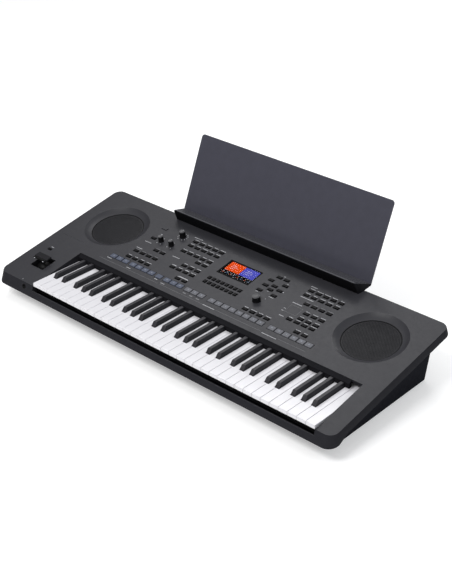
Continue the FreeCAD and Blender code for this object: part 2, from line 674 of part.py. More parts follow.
def key_side(x_low, x_high, front_y):
    """Side outline of a key: rounded nose, flat top, sloping tail and a round bead at the pivot."""
    nose = KEY_NOSE_RADIUS
    bend = math.sqrt(0.5)
    slope_start = V(0, PIVOT_Y - KEY_SLOPE_LENGTH, KEY_TOP_Z)
    nose_top = V(0, front_y + nose, KEY_TOP_Z)
    nose_middle = V(0, front_y + nose * (1 - bend), KEY_TOP_Z - nose * (1 - bend))
    nose_low = V(0, front_y, KEY_TOP_Z - nose)
    heel = V(0, front_y, KEY_BOTTOM_Z)
    bead_low = V(0, PIVOT_Y, KEY_BOTTOM_Z)
    bead_back = V(0, PIVOT_Y + PIVOT_RADIUS, PIVOT_Z)
    bead_top = V(0, PIVOT_Y, PIVOT_Z + PIVOT_RADIUS)
    edges = [Part.makeLine(slope_start, nose_top), Part.Arc(nose_top, nose_middle, nose_low).toShape(),
             Part.makeLine(nose_low, heel), Part.makeLine(heel, bead_low),
             Part.Arc(bead_low, bead_back, bead_top).toShape(), Part.makeLine(bead_top, slope_start)]
    side = Part.Face(Part.Wire(edges)).extrude(V(x_high - x_low, 0, 0))
    side.translate(V(x_low, 0, 0))
    return side


def key_hollow(x_low, x_high, y_low, y_high, ceiling):
    """Space under a key between its walls."""
    return box((x_low + KEY_WALL, y_low, KEY_BOTTOM_Z - CUT_OVER), (x_high - KEY_WALL, y_high, ceiling))


def white_key(number, centres):
    left = KEY_LEFT + number * KEY_PITCH + KEY_SIDE_GAP / 2
    right = left + KEY_PITCH - KEY_SIDE_GAP
    keep_off = BLACK_WIDTH / 2 + BLACK_GAP
    tail_left = centres[number - 1] + keep_off if number - 1 in centres else left
    tail_right = centres[number] - keep_off if number in centres else right
    head_end = KEY_FRONT_Y + BLACK_START - BLACK_GAP
    back = PIVOT_Y + 2 * PIVOT_RADIUS
    cuts = []
    if tail_left > left:
        cuts.append(box((left, head_end, KEY_BOTTOM_Z - CUT_OVER), (tail_left, back, KEY_TOP_Z + CUT_OVER)))
    if tail_right < right:
        cuts.append(box((tail_right, head_end, KEY_BOTTOM_Z - CUT_OVER), (right, back, KEY_TOP_Z + CUT_OVER)))
    ceiling = KEY_TOP_Z - KEY_TOP_WALL
    tail_end = PIVOT_Y - KEY_SLOPE_LENGTH
    cuts.append(key_hollow(left, right, KEY_FRONT_Y + KEY_WALL, head_end - KEY_WALL, ceiling))
    cuts.append(key_hollow(tail_left, tail_right, head_end - KEY_WALL, tail_end, ceiling))
    return key_side(left, right, KEY_FRONT_Y).cut(cuts).removeSplitter()


def black_key(centre):
    """Raised key with sloped nose, drawn-in sides and an eased top edge, on a tail like a white key's."""
    front = KEY_FRONT_Y + BLACK_START
    rear = front + BLACK_LENGTH
    half = BLACK_WIDTH / 2
    top_half = half - BLACK_DRAW_IN
    top = KEY_TOP_Z + BLACK_RISE
    levels = [(KEY_BOTTOM_Z, 0.0, half), (KEY_TOP_Z, 0.0, half),
              (top - BLACK_EDGE, BLACK_NOSE_SLOPE, top_half + BLACK_EDGE / 2),
              (top, BLACK_NOSE_SLOPE + BLACK_EDGE, top_half - BLACK_EDGE / 2)]
    sections = []
    for z, reach, width in levels:
        points = [V(centre - width, front + reach, z), V(centre + width, front + reach, z),
                  V(centre + width, rear, z), V(centre - width, rear, z)]
        sections.append(Part.makePolygon(points + points[:1]))
    crown = Part.makeLoft(sections, True, True)
    tail = key_side(centre - half, centre + half, rear - KEY_SLOPE_LENGTH)
    inside = key_hollow(centre - half, centre + half, front + BLACK_NOSE_SLOPE, rear - KEY_SLOPE_LENGTH,
                        top - KEY_TOP_WALL - BLACK_EDGE)
    return crown.cut(inside).fuse(tail).removeSplitter()


def key_groups():
    """Keys gathered by note: each note is one moulding repeated in every octave."""
    centres = black_centres()
    groups = {}
    for number in range(WHITE_KEYS):
        groups.setdefault("keys_" + NOTES[number % OCTAVE_KEYS], []).append(white_key(number, centres))
    for number, centre in centres.items():
        groups.setdefault("keys_" + NOTES[number % OCTAVE_KEYS] + "_sharp", []).append(black_key(centre))
    return {name: in_case(group(keys)) for name, keys in groups.items()}


def key_travel(y):
    """How far a key drops at a distance y from the case front."""
    return (PIVOT_Y - y) * math.tan(math.radians(KEY_DIP_ANGLE))


def chassis_step():
    """Top of the front step that carries the felt, under the pressed keys."""
    return KEY_BOTTOM_Z - key_travel(CHASSIS_FRONT_Y) - KEY_STOP_GAP - FELT_THICKNESS


def key_chassis():
    """Tray under the keys with a felt step in front and a grooved pivot rail behind."""
    base_top = CHASSIS_Z + CHASSIS_WALL
    rail_top = PIVOT_Z + PIVOT_RADIUS + CHASSIS_RAIL_TOP
    outline = [(CHASSIS_FRONT_Y, CHASSIS_Z), (CHASSIS_REAR_Y, CHASSIS_Z), (CHASSIS_REAR_Y, rail_top),
               (PIVOT_Y, rail_top), (PIVOT_Y, base_top),
               (CHASSIS_FRONT_Y + FELT_DEPTH, base_top), (CHASSIS_FRONT_Y + FELT_DEPTH, chassis_step()),
               (CHASSIS_FRONT_Y, chassis_step())]
    tray = along_x(outline, KEY_LEFT, KEY_RIGHT)
    groove = Part.makeCylinder(PIVOT_RADIUS + PIVOT_CLEARANCE, KEY_RIGHT - KEY_LEFT,
                               V(KEY_LEFT, PIVOT_Y, PIVOT_Z), V(1, 0, 0))
    return in_case(tray.cut(groove))


def key_felt():
    low = chassis_step()
    return in_case(box((KEY_LEFT, CHASSIS_FRONT_Y, low),
                       (KEY_RIGHT, CHASSIS_FRONT_Y + FELT_DEPTH, low + FELT_THICKNESS)))


def key_contact_board():
    low = CHASSIS_Z + CHASSIS_WALL
    return in_case(box((KEY_LEFT, CONTACT_BOARD_Y, low),
                       (KEY_RIGHT, CONTACT_BOARD_Y + CONTACT_BOARD_DEPTH, low + BOARD_THICKNESS)))


def key_contact_strips():
    """Rubber contact strips, one to an octave, with sloped sides."""
    low = CHASSIS_Z + CHASSIS_WALL + BOARD_THICKNESS
    front = CONTACT_BOARD_Y + (CONTACT_BOARD_DEPTH - RUBBER_DEPTH) / 2
    length = (KEY_RIGHT - KEY_LEFT) / RUBBER_STRIPS
    ease = (RUBBER_DEPTH - RUBBER_TOP_DEPTH) / 2
    outline = [(front, low), (front + RUBBER_DEPTH, low), (front + RUBBER_DEPTH - ease, low + RUBBER_HEIGHT),
               (front + ease, low + RUBBER_HEIGHT)]
    strips = []
    for step in range(RUBBER_STRIPS):
        start = KEY_LEFT + length * step
        strips.append(along_x(outline, start + RUBBER_SPACE, start + length - RUBBER_SPACE))
    return in_case(group(strips))


# Panel boards, display and rotary controls
def dish_clearance():
    """Room that the boards and mats leave round the speaker dishes."""
    radius = DISH_RADIUS + CASE_WALL + DISH_GAP
    return [peg(x, SPEAKER_S, radius, DISH_BOTTOM_H, 0) for x in SPEAKERS.values()]


def panel_boards():
    boards = []
    for area in (LEFT_BOARD, RIGHT_BOARD):
        board = box((area[0], area[2], BOARD_TOP_H - BOARD_THICKNESS), (area[1], area[3], BOARD_TOP_H))
        boards.append(board.cut(dish_clearance()))
    return on_panel(group(boards))


def module_size():
    return [side + 2 * MODULE_MARGIN for side in DISPLAY_SIZE]


def switch_mats():
    """Rubber mats on both boards, cut away round the rotary controls, the display and the posts."""
    can = POT_SIZE + 2 * MAT_GAP
    module = [side + 2 * MAT_GAP for side in module_size()]
    mats = []
    for area in (LEFT_BOARD, RIGHT_BOARD):
        mat = box((area[0] + MAT_GAP, area[2] + MAT_FRONT_INSET, BOARD_TOP_H),
                  (area[1] - MAT_GAP, area[3] - MAT_INSET, MAT_TOP_H))
        holes = [plate(x, s, (can, can), BOARD_TOP_H, MAT_TOP_H) for x, s, radius, height in ROTARY_PLACES]
        holes.append(plate(0, DISPLAY_S, module, BOARD_TOP_H, MAT_TOP_H))
        mats.append(mat.cut(holes + dish_clearance()))
    return on_panel(group(mats))


def display_lens():
    return on_panel(plate(0, DISPLAY_S, DISPLAY_SIZE, -LENS_WALL, 0))


def display_module():
    return on_panel(plate(0, DISPLAY_S, module_size(), BOARD_TOP_H, -PANEL_WALL))


def rotary_controls():
    """Square potentiometer cans on the boards, bored for their spindles."""
    cans = []
    for x, s, radius, height in ROTARY_PLACES:
        can = plate(x, s, (POT_SIZE, POT_SIZE), BOARD_TOP_H, -PANEL_WALL)
        bore = peg(x, s, SPINDLE_RADIUS + SPINDLE_CLEARANCE, BOARD_TOP_H + BOARD_THICKNESS, -PANEL_WALL)
        cans.append(can.cut(bore))
    return on_panel(group(cans))


def knob(x, s, radius, height):
    """Tapered knob with a dished crown, shallow grip flutes and its spindle."""
    foot = KNOB_GAP
    spindle_end = BOARD_TOP_H + BOARD_THICKNESS + SPINDLE_END_GAP
    top = foot + height
    top_radius = radius - KNOB_TAPER
    body = turned([(0, spindle_end), (SPINDLE_RADIUS, spindle_end), (SPINDLE_RADIUS, foot), (radius, foot),
                   (top_radius, top - KNOB_CROWN), (top_radius - KNOB_CROWN, top), (0, top)])
    flutes = []
    for step in range(KNOB_GRIP_COUNT):
        turn = 2 * math.pi * step / KNOB_GRIP_COUNT
        away = radius + KNOB_GRIP_RADIUS - KNOB_GRIP_DEPTH
        flutes.append(peg(away * math.cos(turn), away * math.sin(turn), KNOB_GRIP_RADIUS, foot + KNOB_CROWN,
                          top + CUT_OVER))
    body = body.cut(flutes)
    body.translate(V(x, s, 0))
    return on_panel(body)


# Speakers
def speaker_grille(x):
    """Pressed disc with a slight crown and a turned-down rim."""
    low = -DISH_DEPTH - GRILLE_WALL
    high = low + GRILLE_WALL
    rim = GRILLE_RADIUS - GRILLE_LEDGE
    outline = [(0, low + GRILLE_CROWN), (GRILLE_FLAT, low + GRILLE_CROWN), (rim, low),
               (GRILLE_RADIUS, low), (GRILLE_RADIUS, high), (rim, high),
               (GRILLE_FLAT, high + GRILLE_CROWN), (0, high + GRILLE_CROWN)]
    return on_panel(turned(outline, x, SPEAKER_S))


def speaker_frame(x):
    """Basket screwed under the dish, with windows in its cone and a magnet on its back."""
    top = DISH_BOTTOM_H
    mouth = FRAME_RADIUS - FRAME_FLANGE
    back = top - FRAME_DEPTH + MAGNET_HEIGHT
    hub = MAGNET_RADIUS - FRAME_WALL
    coil = COIL_RADIUS - COIL_RUNNING_GAP
    well = back - MAGNET_HEIGHT + FRAME_WALL
    shoulder = top - FRAME_SHOULDER
    gap_wall = COIL_RADIUS + CONE_WALL + COIL_RUNNING_GAP
    frame = turned([(mouth, top), (FRAME_RADIUS, top), (FRAME_RADIUS, top - FRAME_WALL),
                    (mouth + FRAME_WALL, top - FRAME_WALL), (mouth + FRAME_WALL, shoulder),
                    (MAGNET_RADIUS, back), (MAGNET_RADIUS, back - MAGNET_HEIGHT), (0, back - MAGNET_HEIGHT),
                    (0, back), (coil, back), (coil, well), (gap_wall, well), (gap_wall, back + FRAME_WALL),
                    (hub, back + FRAME_WALL), (mouth, shoulder)])
    windows = []
    window_top = shoulder - FRAME_WALL
    window_low = back + 2 * FRAME_WALL
    half = BASKET_WINDOW / 2
    for step in range(BASKET_WINDOW_COUNT):
        window = box((hub, -half, window_low), (FRAME_RADIUS, half, window_top))
        window.rotate(V(0, 0, 0), V(0, 0, 1), 360 * (step + 0.5) / BASKET_WINDOW_COUNT)
        windows.append(window)
    frame = frame.cut(windows)
    frame.translate(V(x, SPEAKER_S, 0))
    return on_panel(frame)


def speaker_cone(x):
    """Paper cone with its dust cap and voice-coil tube, free to pump in the basket."""
    rim = FRAME_RADIUS - FRAME_FLANGE - CONE_GAP
    top = DISH_BOTTOM_H - CONE_TRAVEL - CONE_GAP
    throat = top - CONE_DEPTH
    tube_low = throat - COIL_LENGTH
    inner = COIL_RADIUS + CONE_WALL
    under = throat - CONE_WALL
    outline = [(0, throat + CAP_CROWN), (CAP_SHOULDER_RADIUS, throat + CAP_CROWN - CONE_WALL),
               (CONE_THROAT_RADIUS, throat), (rim - CONE_WALL, top), (rim, top), (rim, top - CONE_WALL),
               (CONE_THROAT_RADIUS + CONE_WALL, under), (inner, under), (inner, tube_low),
               (COIL_RADIUS, tube_low), (COIL_RADIUS, under), (0, throat)]
    return on_panel(turned(outline, x, SPEAKER_S))


# Joystick
def joystick_housing():
    """Open cup under the cheek with bearings for the yoke."""
    outer = RECESS_SIZE + 2 * HOUSING_WALL
    low = -PANEL_WALL - HOUSING_DEPTH
    cup = plate(0, 0, (outer, outer), low, -PANEL_WALL)
    cup = cup.cut(plate(0, 0, (RECESS_SIZE, RECESS_SIZE), low + HOUSING_WALL, -PANEL_WALL))
    start = V(-outer / 2, 0, STICK_PIVOT_H)
    bearing = Part.makeCylinder(TRUNNION_RADIUS + PIN_CLEARANCE, outer, start, V(1, 0, 0))
    return on_panel(at_joystick(cup.cut(bearing)))


def at_joystick(shape):
    shape.translate(V(JOYSTICK_X, JOYSTICK_S, 0))
    return shape


def joystick_yoke():
    """Ring with two trunnions along the keys and two eyes for the lever's pins."""
    half = YOKE_SIZE / 2
    reach = RECESS_SIZE / 2 + HOUSING_WALL
    low, high = STICK_PIVOT_H - YOKE_HEIGHT / 2, STICK_PIVOT_H + YOKE_HEIGHT / 2
    ring = plate(0, 0, (YOKE_SIZE, YOKE_SIZE), low, high)
    inner = YOKE_SIZE - 2 * YOKE_RING
    root = half - YOKE_RING / 2
    trunnions = []
    for side in (-1, 1):
        start = V(side * root, 0, STICK_PIVOT_H)
        trunnions.append(Part.makeCylinder(TRUNNION_RADIUS, reach - root, start, V(side, 0, 0)))
    eye_start = V(0, -half, STICK_PIVOT_H)
    eyes = Part.makeCylinder(LEVER_PIN_RADIUS + PIN_CLEARANCE, YOKE_SIZE, eye_start, V(0, 1, 0))
    yoke = ring.cut([plate(0, 0, (inner, inner), low, high), eyes]).fuse(trunnions)
    return on_panel(at_joystick(yoke.removeSplitter()))


def joystick_lever():
    """Stick on a cross pin, with a dome that hides the works and a paddle for the thumb."""
    half = YOKE_SIZE / 2
    pin = Part.makeCylinder(LEVER_PIN_RADIUS, YOKE_SIZE, V(0, -half, STICK_PIVOT_H), V(0, 1, 0))
    hub = plate(0, 0, (STICK_HUB, STICK_HUB), STICK_PIVOT_H - STICK_HUB / 2, STICK_PIVOT_H + STICK_HUB / 2)
    stick = peg(0, 0, STICK_RADIUS, STICK_PIVOT_H, PADDLE_H + PADDLE_WALL / 2)
    angle = math.radians(DOME_HALF_ANGLE)
    inner = DOME_RADIUS - DOME_WALL

    def on_dome(radius, share):
        turn = angle * share
        return V(radius * math.sin(turn), 0, STICK_PIVOT_H + radius * math.cos(turn))

    outer_points = [on_dome(DOME_RADIUS, share) for share in (0, 0.5, 1)]
    outer_arc = Part.Arc(*outer_points).toShape()
    inner_arc = Part.Arc(on_dome(inner, 1), on_dome(inner, 0.5), on_dome(inner, 0)).toShape()
    edges = [Part.makeLine(on_dome(inner, 0), on_dome(DOME_RADIUS, 0)), outer_arc,
             Part.makeLine(on_dome(DOME_RADIUS, 1), on_dome(inner, 1)), inner_arc]
    dome = Part.Face(Part.Wire(edges)).revolve(V(0, 0, 0), V(0, 0, 1), 360)
    low, high = PADDLE_H, PADDLE_H + PADDLE_WALL
    sections = []
    for h, draw in ((low, 0.0), ((low + high) / 2, 0.0), (high, PADDLE_EDGE)):
        a, b = PADDLE_SIZE[0] / 2 - draw, PADDLE_SIZE[1] / 2 - draw
        points = [V(-a, -b, h), V(a, -b, h), V(a, b, h), V(-a, b, h)]
        sections.append(Part.makePolygon(points + points[:1]))
    paddle = Part.makeLoft(sections, True, True)
    return on_panel(at_joystick(hub.fuse([pin, stick, dome, paddle])))


# Sockets
def socket(x, z, mouth_y, into, collar_radius, bore_radius, collar_length):
    """Jack with a square body behind the wall and a round collar that fills the wall's hole."""
    body_y = mouth_y + into * collar_length
    far_y = mouth_y + into * SOCKET_LENGTH
    half = SOCKET_BODY / 2
    body = box((x - half, min(body_y, far_y), z - half), (x + half, max(body_y, far_y), z + half))
    collar = Part.makeCylinder(collar_radius, collar_length, V(x, mouth_y, z), V(0, into, 0))
    bore = Part.makeCylinder(bore_radius, SOCKET_BORE, V(x, mouth_y, z), V(0, into, 0))
    return body.fuse(collar).cut(bore)


def headphone_socket():
    """Jack whose collar is trimmed flush with the raked front face."""
    collar_length = FRONT_EDGE_S + CASE_WALL
    jack = socket(HEADPHONE_X, HEADPHONE_Z, CASE_FRONT_Y, 1, SOCKET_COLLAR_RADIUS, PLUG_RADIUS, collar_length)
    inside = Part.makeLoft([case_outline(-EDGE_BREAK), case_outline(-FRONT_SKIRT)], True, True)
    return in_case(jack.common(moved(inside, CASE_SLOPE)))


def rear_sockets():
    jacks = [socket(x, REAR_SOCKET_Z, TUB_REAR_Y, -1, SOCKET_COLLAR_RADIUS, PLUG_RADIUS, CASE_WALL)
             for x in PEDAL_X + LINE_OUT_X]
    return in_case(group(jacks))


def power_inlet():
    inlet = socket(INLET_X, REAR_SOCKET_Z, TUB_REAR_Y, -1, INLET_COLLAR_RADIUS, INLET_RADIUS, CASE_WALL)
    return in_case(inlet)


# Music rest
def panel_z(y):
    """Height of the panel's top face at a distance y from the case front."""
    return PANEL_FRONT_Z + y * SIN / COS


def tongue(x, clearance):
    """Tab under the ledge's front wall that drops into a slot in the panel."""
    half = TONGUE_WIDTH / 2 + clearance
    low = panel_z(REST_FOOT_Y) - TONGUE_DEPTH - clearance
    high = low + TONGUE_DEPTH + 2 * clearance + REST_WALL
    rear = REST_FOOT_Y + REST_WALL
    return box((x - half, REST_FOOT_Y - clearance, low), (x + half, rear + clearance, high))


def on_seat(y):
    """Point of the music rest's foot on the panel."""
    return (y, panel_z(y) + REST_SEAT_GAP)


def music_rest():
    """Ledge that overhangs its drawn-back front wall, a plate leaning back from it and tongues below."""
    half = REST_WIDTH / 2
    front = LEDGE_FRONT_Y
    ledge_top = panel_z(front) + LEDGE_RISE
    lip_z = ledge_top - LEDGE_LIP
    foot = (PLATE_FOOT_Y, ledge_top - LEDGE_FALL)
    back = (foot[0] + REST_WALL * LEAN_COS, foot[1] - REST_WALL * LEAN_SIN)
    top = (foot[0] + REST_PLATE_LENGTH * LEAN_SIN, foot[1] + REST_PLATE_LENGTH * LEAN_COS)
    top_back = (back[0] + REST_PLATE_LENGTH * LEAN_SIN, back[1] + REST_PLATE_LENGTH * LEAN_COS)
    under_rear = (back[0], back[1] - REST_WALL)
    inner_lip = (front + REST_WALL, lip_z)
    inner_foot = on_seat(REST_FOOT_Y + REST_WALL)
    shelf = along_x([(front, lip_z), (front, ledge_top), foot, back, under_rear], -half, half)
    wall = along_x([(front, lip_z), inner_lip, inner_foot, on_seat(REST_FOOT_Y)], -half, half)
    plate_face = along_x([foot, top, top_back, back], -half, half)
    corners = [edge for edge in plate_face.Edges
               if edge.Length < 2 * REST_WALL and edge.CenterOfMass.z > (foot[1] + top[1]) / 2]
    plate_face = plate_face.makeFillet(REST_CORNER_RADIUS, corners)
    rib_outline = [inner_foot, inner_lip, under_rear, on_seat((PANEL_LENGTH - EDGE_BREAK) * COS)]
    ribs = [along_x(rib_outline, -half, -half + LEDGE_TAPER + REST_RIB_WALL),
            along_x(rib_outline, half - LEDGE_TAPER - REST_RIB_WALL, half)]
    for x in (-half / 3, half / 3 - REST_RIB_WALL):
        ribs.append(along_x(rib_outline, x, x + REST_RIB_WALL))
    ends = []
    for side in (-1, 1):
        reach = front - LEDGE_DEPTH
        outline = [V(side * half, PLATE_FOOT_Y, 0), V(side * (half - 2 * LEDGE_TAPER), reach, 0),
                   V(side * REST_WIDTH, reach, 0), V(side * REST_WIDTH, PLATE_FOOT_Y, 0)]
        end = Part.Face(Part.makePolygon(outline + outline[:1])).extrude(V(0, 0, foot[1] + LEDGE_RISE))
        ends.append(end)
    ledge = shelf.fuse([wall] + ribs).cut(ends)
    tongues = [tongue(x, 0.0) for x in TONGUE_X]
    return in_case(ledge.fuse([plate_face] + tongues).removeSplitter())


def nodes():
    """Every piece of the keyboard by name."""
    pieces = {"upper_case": upper_case(), "lower_case": lower_case(), "rubber_feet": rubber_feet(),
              "case_screws": case_screws(), "key_chassis": key_chassis(), "key_felt": key_felt(),
              "key_contact_board": key_contact_board(), "key_contact_strips": key_contact_strips(),
              "panel_boards": panel_boards(), "switch_mats": switch_mats(),
              "display_module": display_module(), "display_lens": display_lens(),
              "rotary_controls": rotary_controls(), "main_board": main_board(),
              "joystick_housing": joystick_housing(), "joystick_yoke": joystick_yoke(),
              "joystick_lever": joystick_lever(), "headphone_socket": headphone_socket(),
              "rear_sockets": rear_sockets(), "power_inlet": power_inlet(), "music_rest": music_rest(),
              "volume_knob": knob(*VOLUME), "control_knob_left": knob(*CONTROL_LEFT),
              "control_knob_right": knob(*CONTROL_RIGHT), "data_dial": knob(*DIAL)}
    for side, x in SPEAKERS.items():
        pieces["speaker_grille_" + side] = speaker_grille(x)
        pieces["speaker_frame_" + side] = speaker_frame(x)
        pieces["speaker_cone_" + side] = speaker_cone(x)
    pieces.update(key_groups())
    for name, (places, size, rise) in button_places().items():
        pieces[name] = on_panel(group([button(x, s, size, rise) for x, s in places]))
    return pieces


os.makedirs("parts", exist_ok=True)
for name, shape in nodes().items():
    shape.exportStep("parts/" + name + ".step")
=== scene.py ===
"""Looks of an arranger keyboard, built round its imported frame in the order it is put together."""
import math
import random

import bmesh
import bpy
from mathutils import Matrix, Vector


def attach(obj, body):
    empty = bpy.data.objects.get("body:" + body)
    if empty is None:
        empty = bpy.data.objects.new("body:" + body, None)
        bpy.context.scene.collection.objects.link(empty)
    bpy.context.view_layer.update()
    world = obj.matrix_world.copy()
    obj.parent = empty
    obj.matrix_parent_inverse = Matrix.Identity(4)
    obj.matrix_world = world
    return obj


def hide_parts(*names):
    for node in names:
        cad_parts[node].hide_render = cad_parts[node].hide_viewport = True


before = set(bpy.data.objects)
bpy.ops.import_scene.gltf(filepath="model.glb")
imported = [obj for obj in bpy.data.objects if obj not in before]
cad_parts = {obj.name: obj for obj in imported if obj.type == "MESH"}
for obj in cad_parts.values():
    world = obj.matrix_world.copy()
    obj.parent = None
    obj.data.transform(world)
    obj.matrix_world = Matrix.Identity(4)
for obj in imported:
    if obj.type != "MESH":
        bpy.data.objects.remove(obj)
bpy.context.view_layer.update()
random.seed(61)


# Lower case: a wedge-shaped tub moulded in black plastic with a coarse spark grain, which hides
# scuffs from tables and stands. It is screwed up against the slab from below.
MILLIMETRE = 0.001
TUB_ROUNDING = 0.0008
SCREEN_STEPS = 255
CURVE_START, CURVE_SLOPE, CURVE_SHIFT, CURVE_POWER = 0.04045, 12.92, 0.055, 2.4
EDGE_SAMPLES = 4
EDGE_START, EDGE_FULL = 0.99, 0.85
DRIFT_LUMP, DRIFT_DETAIL = 0.018, 4.0
PATCH_LUMP, PATCH_DETAIL, PATCH_LEAST = 0.009, 5.0, 0.2
POLISH_LUMP, POLISH_DETAIL, POLISH_SWING = 0.006, 3.0, 0.12
GRAIN_DETAIL = 1.0
RUBBED_AND_HIGHLIT_GREY = 0.5
SAME_POINT = 2e-6
FLAT_TURN, SHARP_TURN = math.radians(0.4), math.radians(32)
ROUNDING_STEPS = 2


def paint(red, green, blue):
    """Linear colour from screen values of 0 to 255, by the usual screen curve."""
    colour = []
    for value in (red, green, blue):
        light = value / SCREEN_STEPS
        if light > CURVE_START:
            colour.append(((light + CURVE_SHIFT) / (1 + CURVE_SHIFT)) ** CURVE_POWER)
        else:
            colour.append(light / CURVE_SLOPE)
    return colour + [1.0]


def shaded(colour, share):
    """The colour with its light scaled by a share."""
    return [light * share for light in colour[:3]] + [1.0]


def lumps(tree, size, detail=2.0):
    """Even noise over the piece, with lumps of about the given size in metres."""
    place = tree.nodes.new("ShaderNodeTexCoord")
    noise = tree.nodes.new("ShaderNodeTexNoise")
    noise.inputs["Scale"].default_value = 1.0 / size
    noise.inputs["Detail"].default_value = detail
    tree.links.new(place.outputs["Object"], noise.inputs["Vector"])
    return noise.outputs["Fac"]


def spread(tree, value, low, high, start=0.3, end=0.7):
    """The part of a value between start and end, stretched between two others."""
    stretch = tree.nodes.new("ShaderNodeMapRange")
    stretch.inputs["From Min"].default_value = start
    stretch.inputs["From Max"].default_value = end
    stretch.inputs["To Min"].default_value = low
    stretch.inputs["To Max"].default_value = high
    tree.links.new(value, stretch.inputs["Value"])
    return stretch.outputs["Result"]


def times(tree, first, second):
    """Two values multiplied."""
    product = tree.nodes.new("ShaderNodeMath")
    product.operation = "MULTIPLY"
    tree.links.new(first, product.inputs[0])
    tree.links.new(second, product.inputs[1])
    return product.outputs["Value"]


def blended(tree, factor, first, second):
    """Two colours mixed by a factor; the first may come from another node."""
    mix = tree.nodes.new("ShaderNodeMix")
    mix.data_type = "RGBA"
    tree.links.new(factor, mix.inputs["Factor"])
    if isinstance(first, bpy.types.NodeSocket):
        tree.links.new(first, mix.inputs["A"])
    else:
        mix.inputs["A"].default_value = first
    mix.inputs["B"].default_value = second
    return mix.outputs["Result"]


def relief(tree, height, depth):
    """Surface relief of the given depth in metres, added to the shader."""
    bump = tree.nodes.new("ShaderNodeBump")
    bump.inputs["Strength"].default_value = 1.0
    bump.inputs["Distance"].default_value = depth
    tree.links.new(height, bump.inputs["Height"])
    tree.links.new(bump.outputs["Normal"], tree.nodes["Principled BSDF"].inputs["Normal"])


def sharp_edges(tree, radius):
    """How near the surface is to a sharp edge: none on open faces, full on the edge itself."""
    rounded = tree.nodes.new("ShaderNodeBevel")
    rounded.samples = EDGE_SAMPLES
    rounded.inputs["Radius"].default_value = radius
    surface = tree.nodes.new("ShaderNodeNewGeometry")
    turn = tree.nodes.new("ShaderNodeVectorMath")
    turn.operation = "DOT_PRODUCT"
    tree.links.new(rounded.outputs["Normal"], turn.inputs[0])
    tree.links.new(surface.outputs["Normal"], turn.inputs[1])
    return spread(tree, turn.outputs["Value"], 0.0, 1.0, EDGE_START, EDGE_FULL)


def moulded(name, colour, roughness, grain, depth, mottle=0.1, gloss=0.5, wear_and_highlight=0.0, edge_reach=0.0009, metal=0.0):
    """Moulded, painted or plated finish: a drift of colour, uneven polish, pale edges and a fine grain.

    The pale edges are rubbed wear and painted highlight together. The grain's width and depth, and how
    far the pale edges reach from an edge, are in metres.
    """
    material = bpy.data.materials.new(name)
    material.use_nodes = True
    tree = material.node_tree
    surface = tree.nodes["Principled BSDF"]
    surface.inputs["Specular IOR Level"].default_value = gloss
    surface.inputs["Metallic"].default_value = metal
    cloud = spread(tree, lumps(tree, DRIFT_LUMP, DRIFT_DETAIL), 0.0, 1.0)
    drift = blended(tree, cloud, shaded(colour, 1 - mottle), shaded(colour, 1 + mottle))
    # Pale sharp edges: rubbed wear, and also a painted highlight where light would catch an edge.
    if wear_and_highlight:
        rubbed_and_highlit = [light + (RUBBED_AND_HIGHLIT_GREY - light) * wear_and_highlight for light in colour[:3]] + [1.0]
        patches = spread(tree, lumps(tree, PATCH_LUMP, PATCH_DETAIL), PATCH_LEAST, 1.0)
        drift = blended(tree, times(tree, sharp_edges(tree, edge_reach), patches), drift, rubbed_and_highlit)
    tree.links.new(drift, surface.inputs["Base Color"])
    smoothest, roughest = roughness * (1 - POLISH_SWING), roughness * (1 + POLISH_SWING)
    polish = spread(tree, lumps(tree, POLISH_LUMP, POLISH_DETAIL), smoothest, roughest)
    tree.links.new(polish, surface.inputs["Roughness"])
    relief(tree, lumps(tree, grain, GRAIN_DETAIL), depth)
    return material


def riding(name, mesh, body, replaced=None):
    """A piece with the given mesh that rides one body of the frame, in place of a node or beside it."""
    piece = bpy.data.objects.new(name, mesh)
    bpy.context.scene.collection.objects.link(piece)
    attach(piece, body)
    if replaced:
        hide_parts(replaced)
    return piece


def eased(node, width, materials, body, pick=None, shift=None):
    """A piece of the frame with its sharp edges rounded as its mould leaves them.

    Two functions may be given: one picks, for each face, which of the materials it takes, and the
    other moves a corner a little.
    """
    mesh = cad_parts[node].data.copy()
    if "custom_normal" in mesh.attributes:
        mesh.attributes.remove(mesh.attributes["custom_normal"])
    mesh.materials.clear()
    for material in materials:
        mesh.materials.append(material)
    shape = bmesh.new()
    shape.from_mesh(mesh)
    bmesh.ops.remove_doubles(shape, verts=shape.verts, dist=SAME_POINT)
    bmesh.ops.dissolve_limit(shape, angle_limit=FLAT_TURN, verts=shape.verts, edges=shape.edges)
    if shift:
        for vertex in shape.verts:
            shift(vertex)
    for face in shape.faces:
        face.smooth = True
        face.material_index = pick(face) if pick else 0
    shape.to_mesh(mesh)
    shape.free()
    rounding = riding(node + "_finished", mesh, body, node).modifiers.new("rounding", "BEVEL")
    rounding.width = width
    rounding.segments = ROUNDING_STEPS
    rounding.limit_method = "ANGLE"
    rounding.angle_limit = SHARP_TURN
    rounding.harden_normals = True


tub_plastic = moulded("tub_plastic", paint(22, 23, 29), roughness=0.6, grain=0.0009, depth=0.00005,
                      gloss=0.01, wear_and_highlight=0.03)
eased("lower_case", TUB_ROUNDING, [tub_plastic], "case")


# Rubber feet: six feet moulded in soft black rubber and glued under the tub. Each is dished below, so
# that its rim grips the table.
FOOT_OUTLINE = [(0, 4.0), (8.0, 4.0), (8.5, 3.6), (8.2, 0.9), (7.4, 0.15), (6.0, 0.0), (5.2, 0.4),
                (4.6, 0.9), (0, 0.9)]
SMALL_TURN_STEPS = 40
SOFT_EDGE = math.radians(38)


def piece_of(name, shape, body, materials, replaced=None):
    """A finished piece from its mesh, shaded smooth across soft edges."""
    mesh = bpy.data.meshes.new(name)
    bmesh.ops.recalc_face_normals(shape, faces=shape.faces)
    for face in shape.faces:
        face.smooth = True
    shape.to_mesh(mesh)
    shape.free()
    mesh.set_sharp_from_angle(angle=SOFT_EDGE)
    for material in materials:
        mesh.materials.append(material)
    riding(name, mesh, body, replaced)


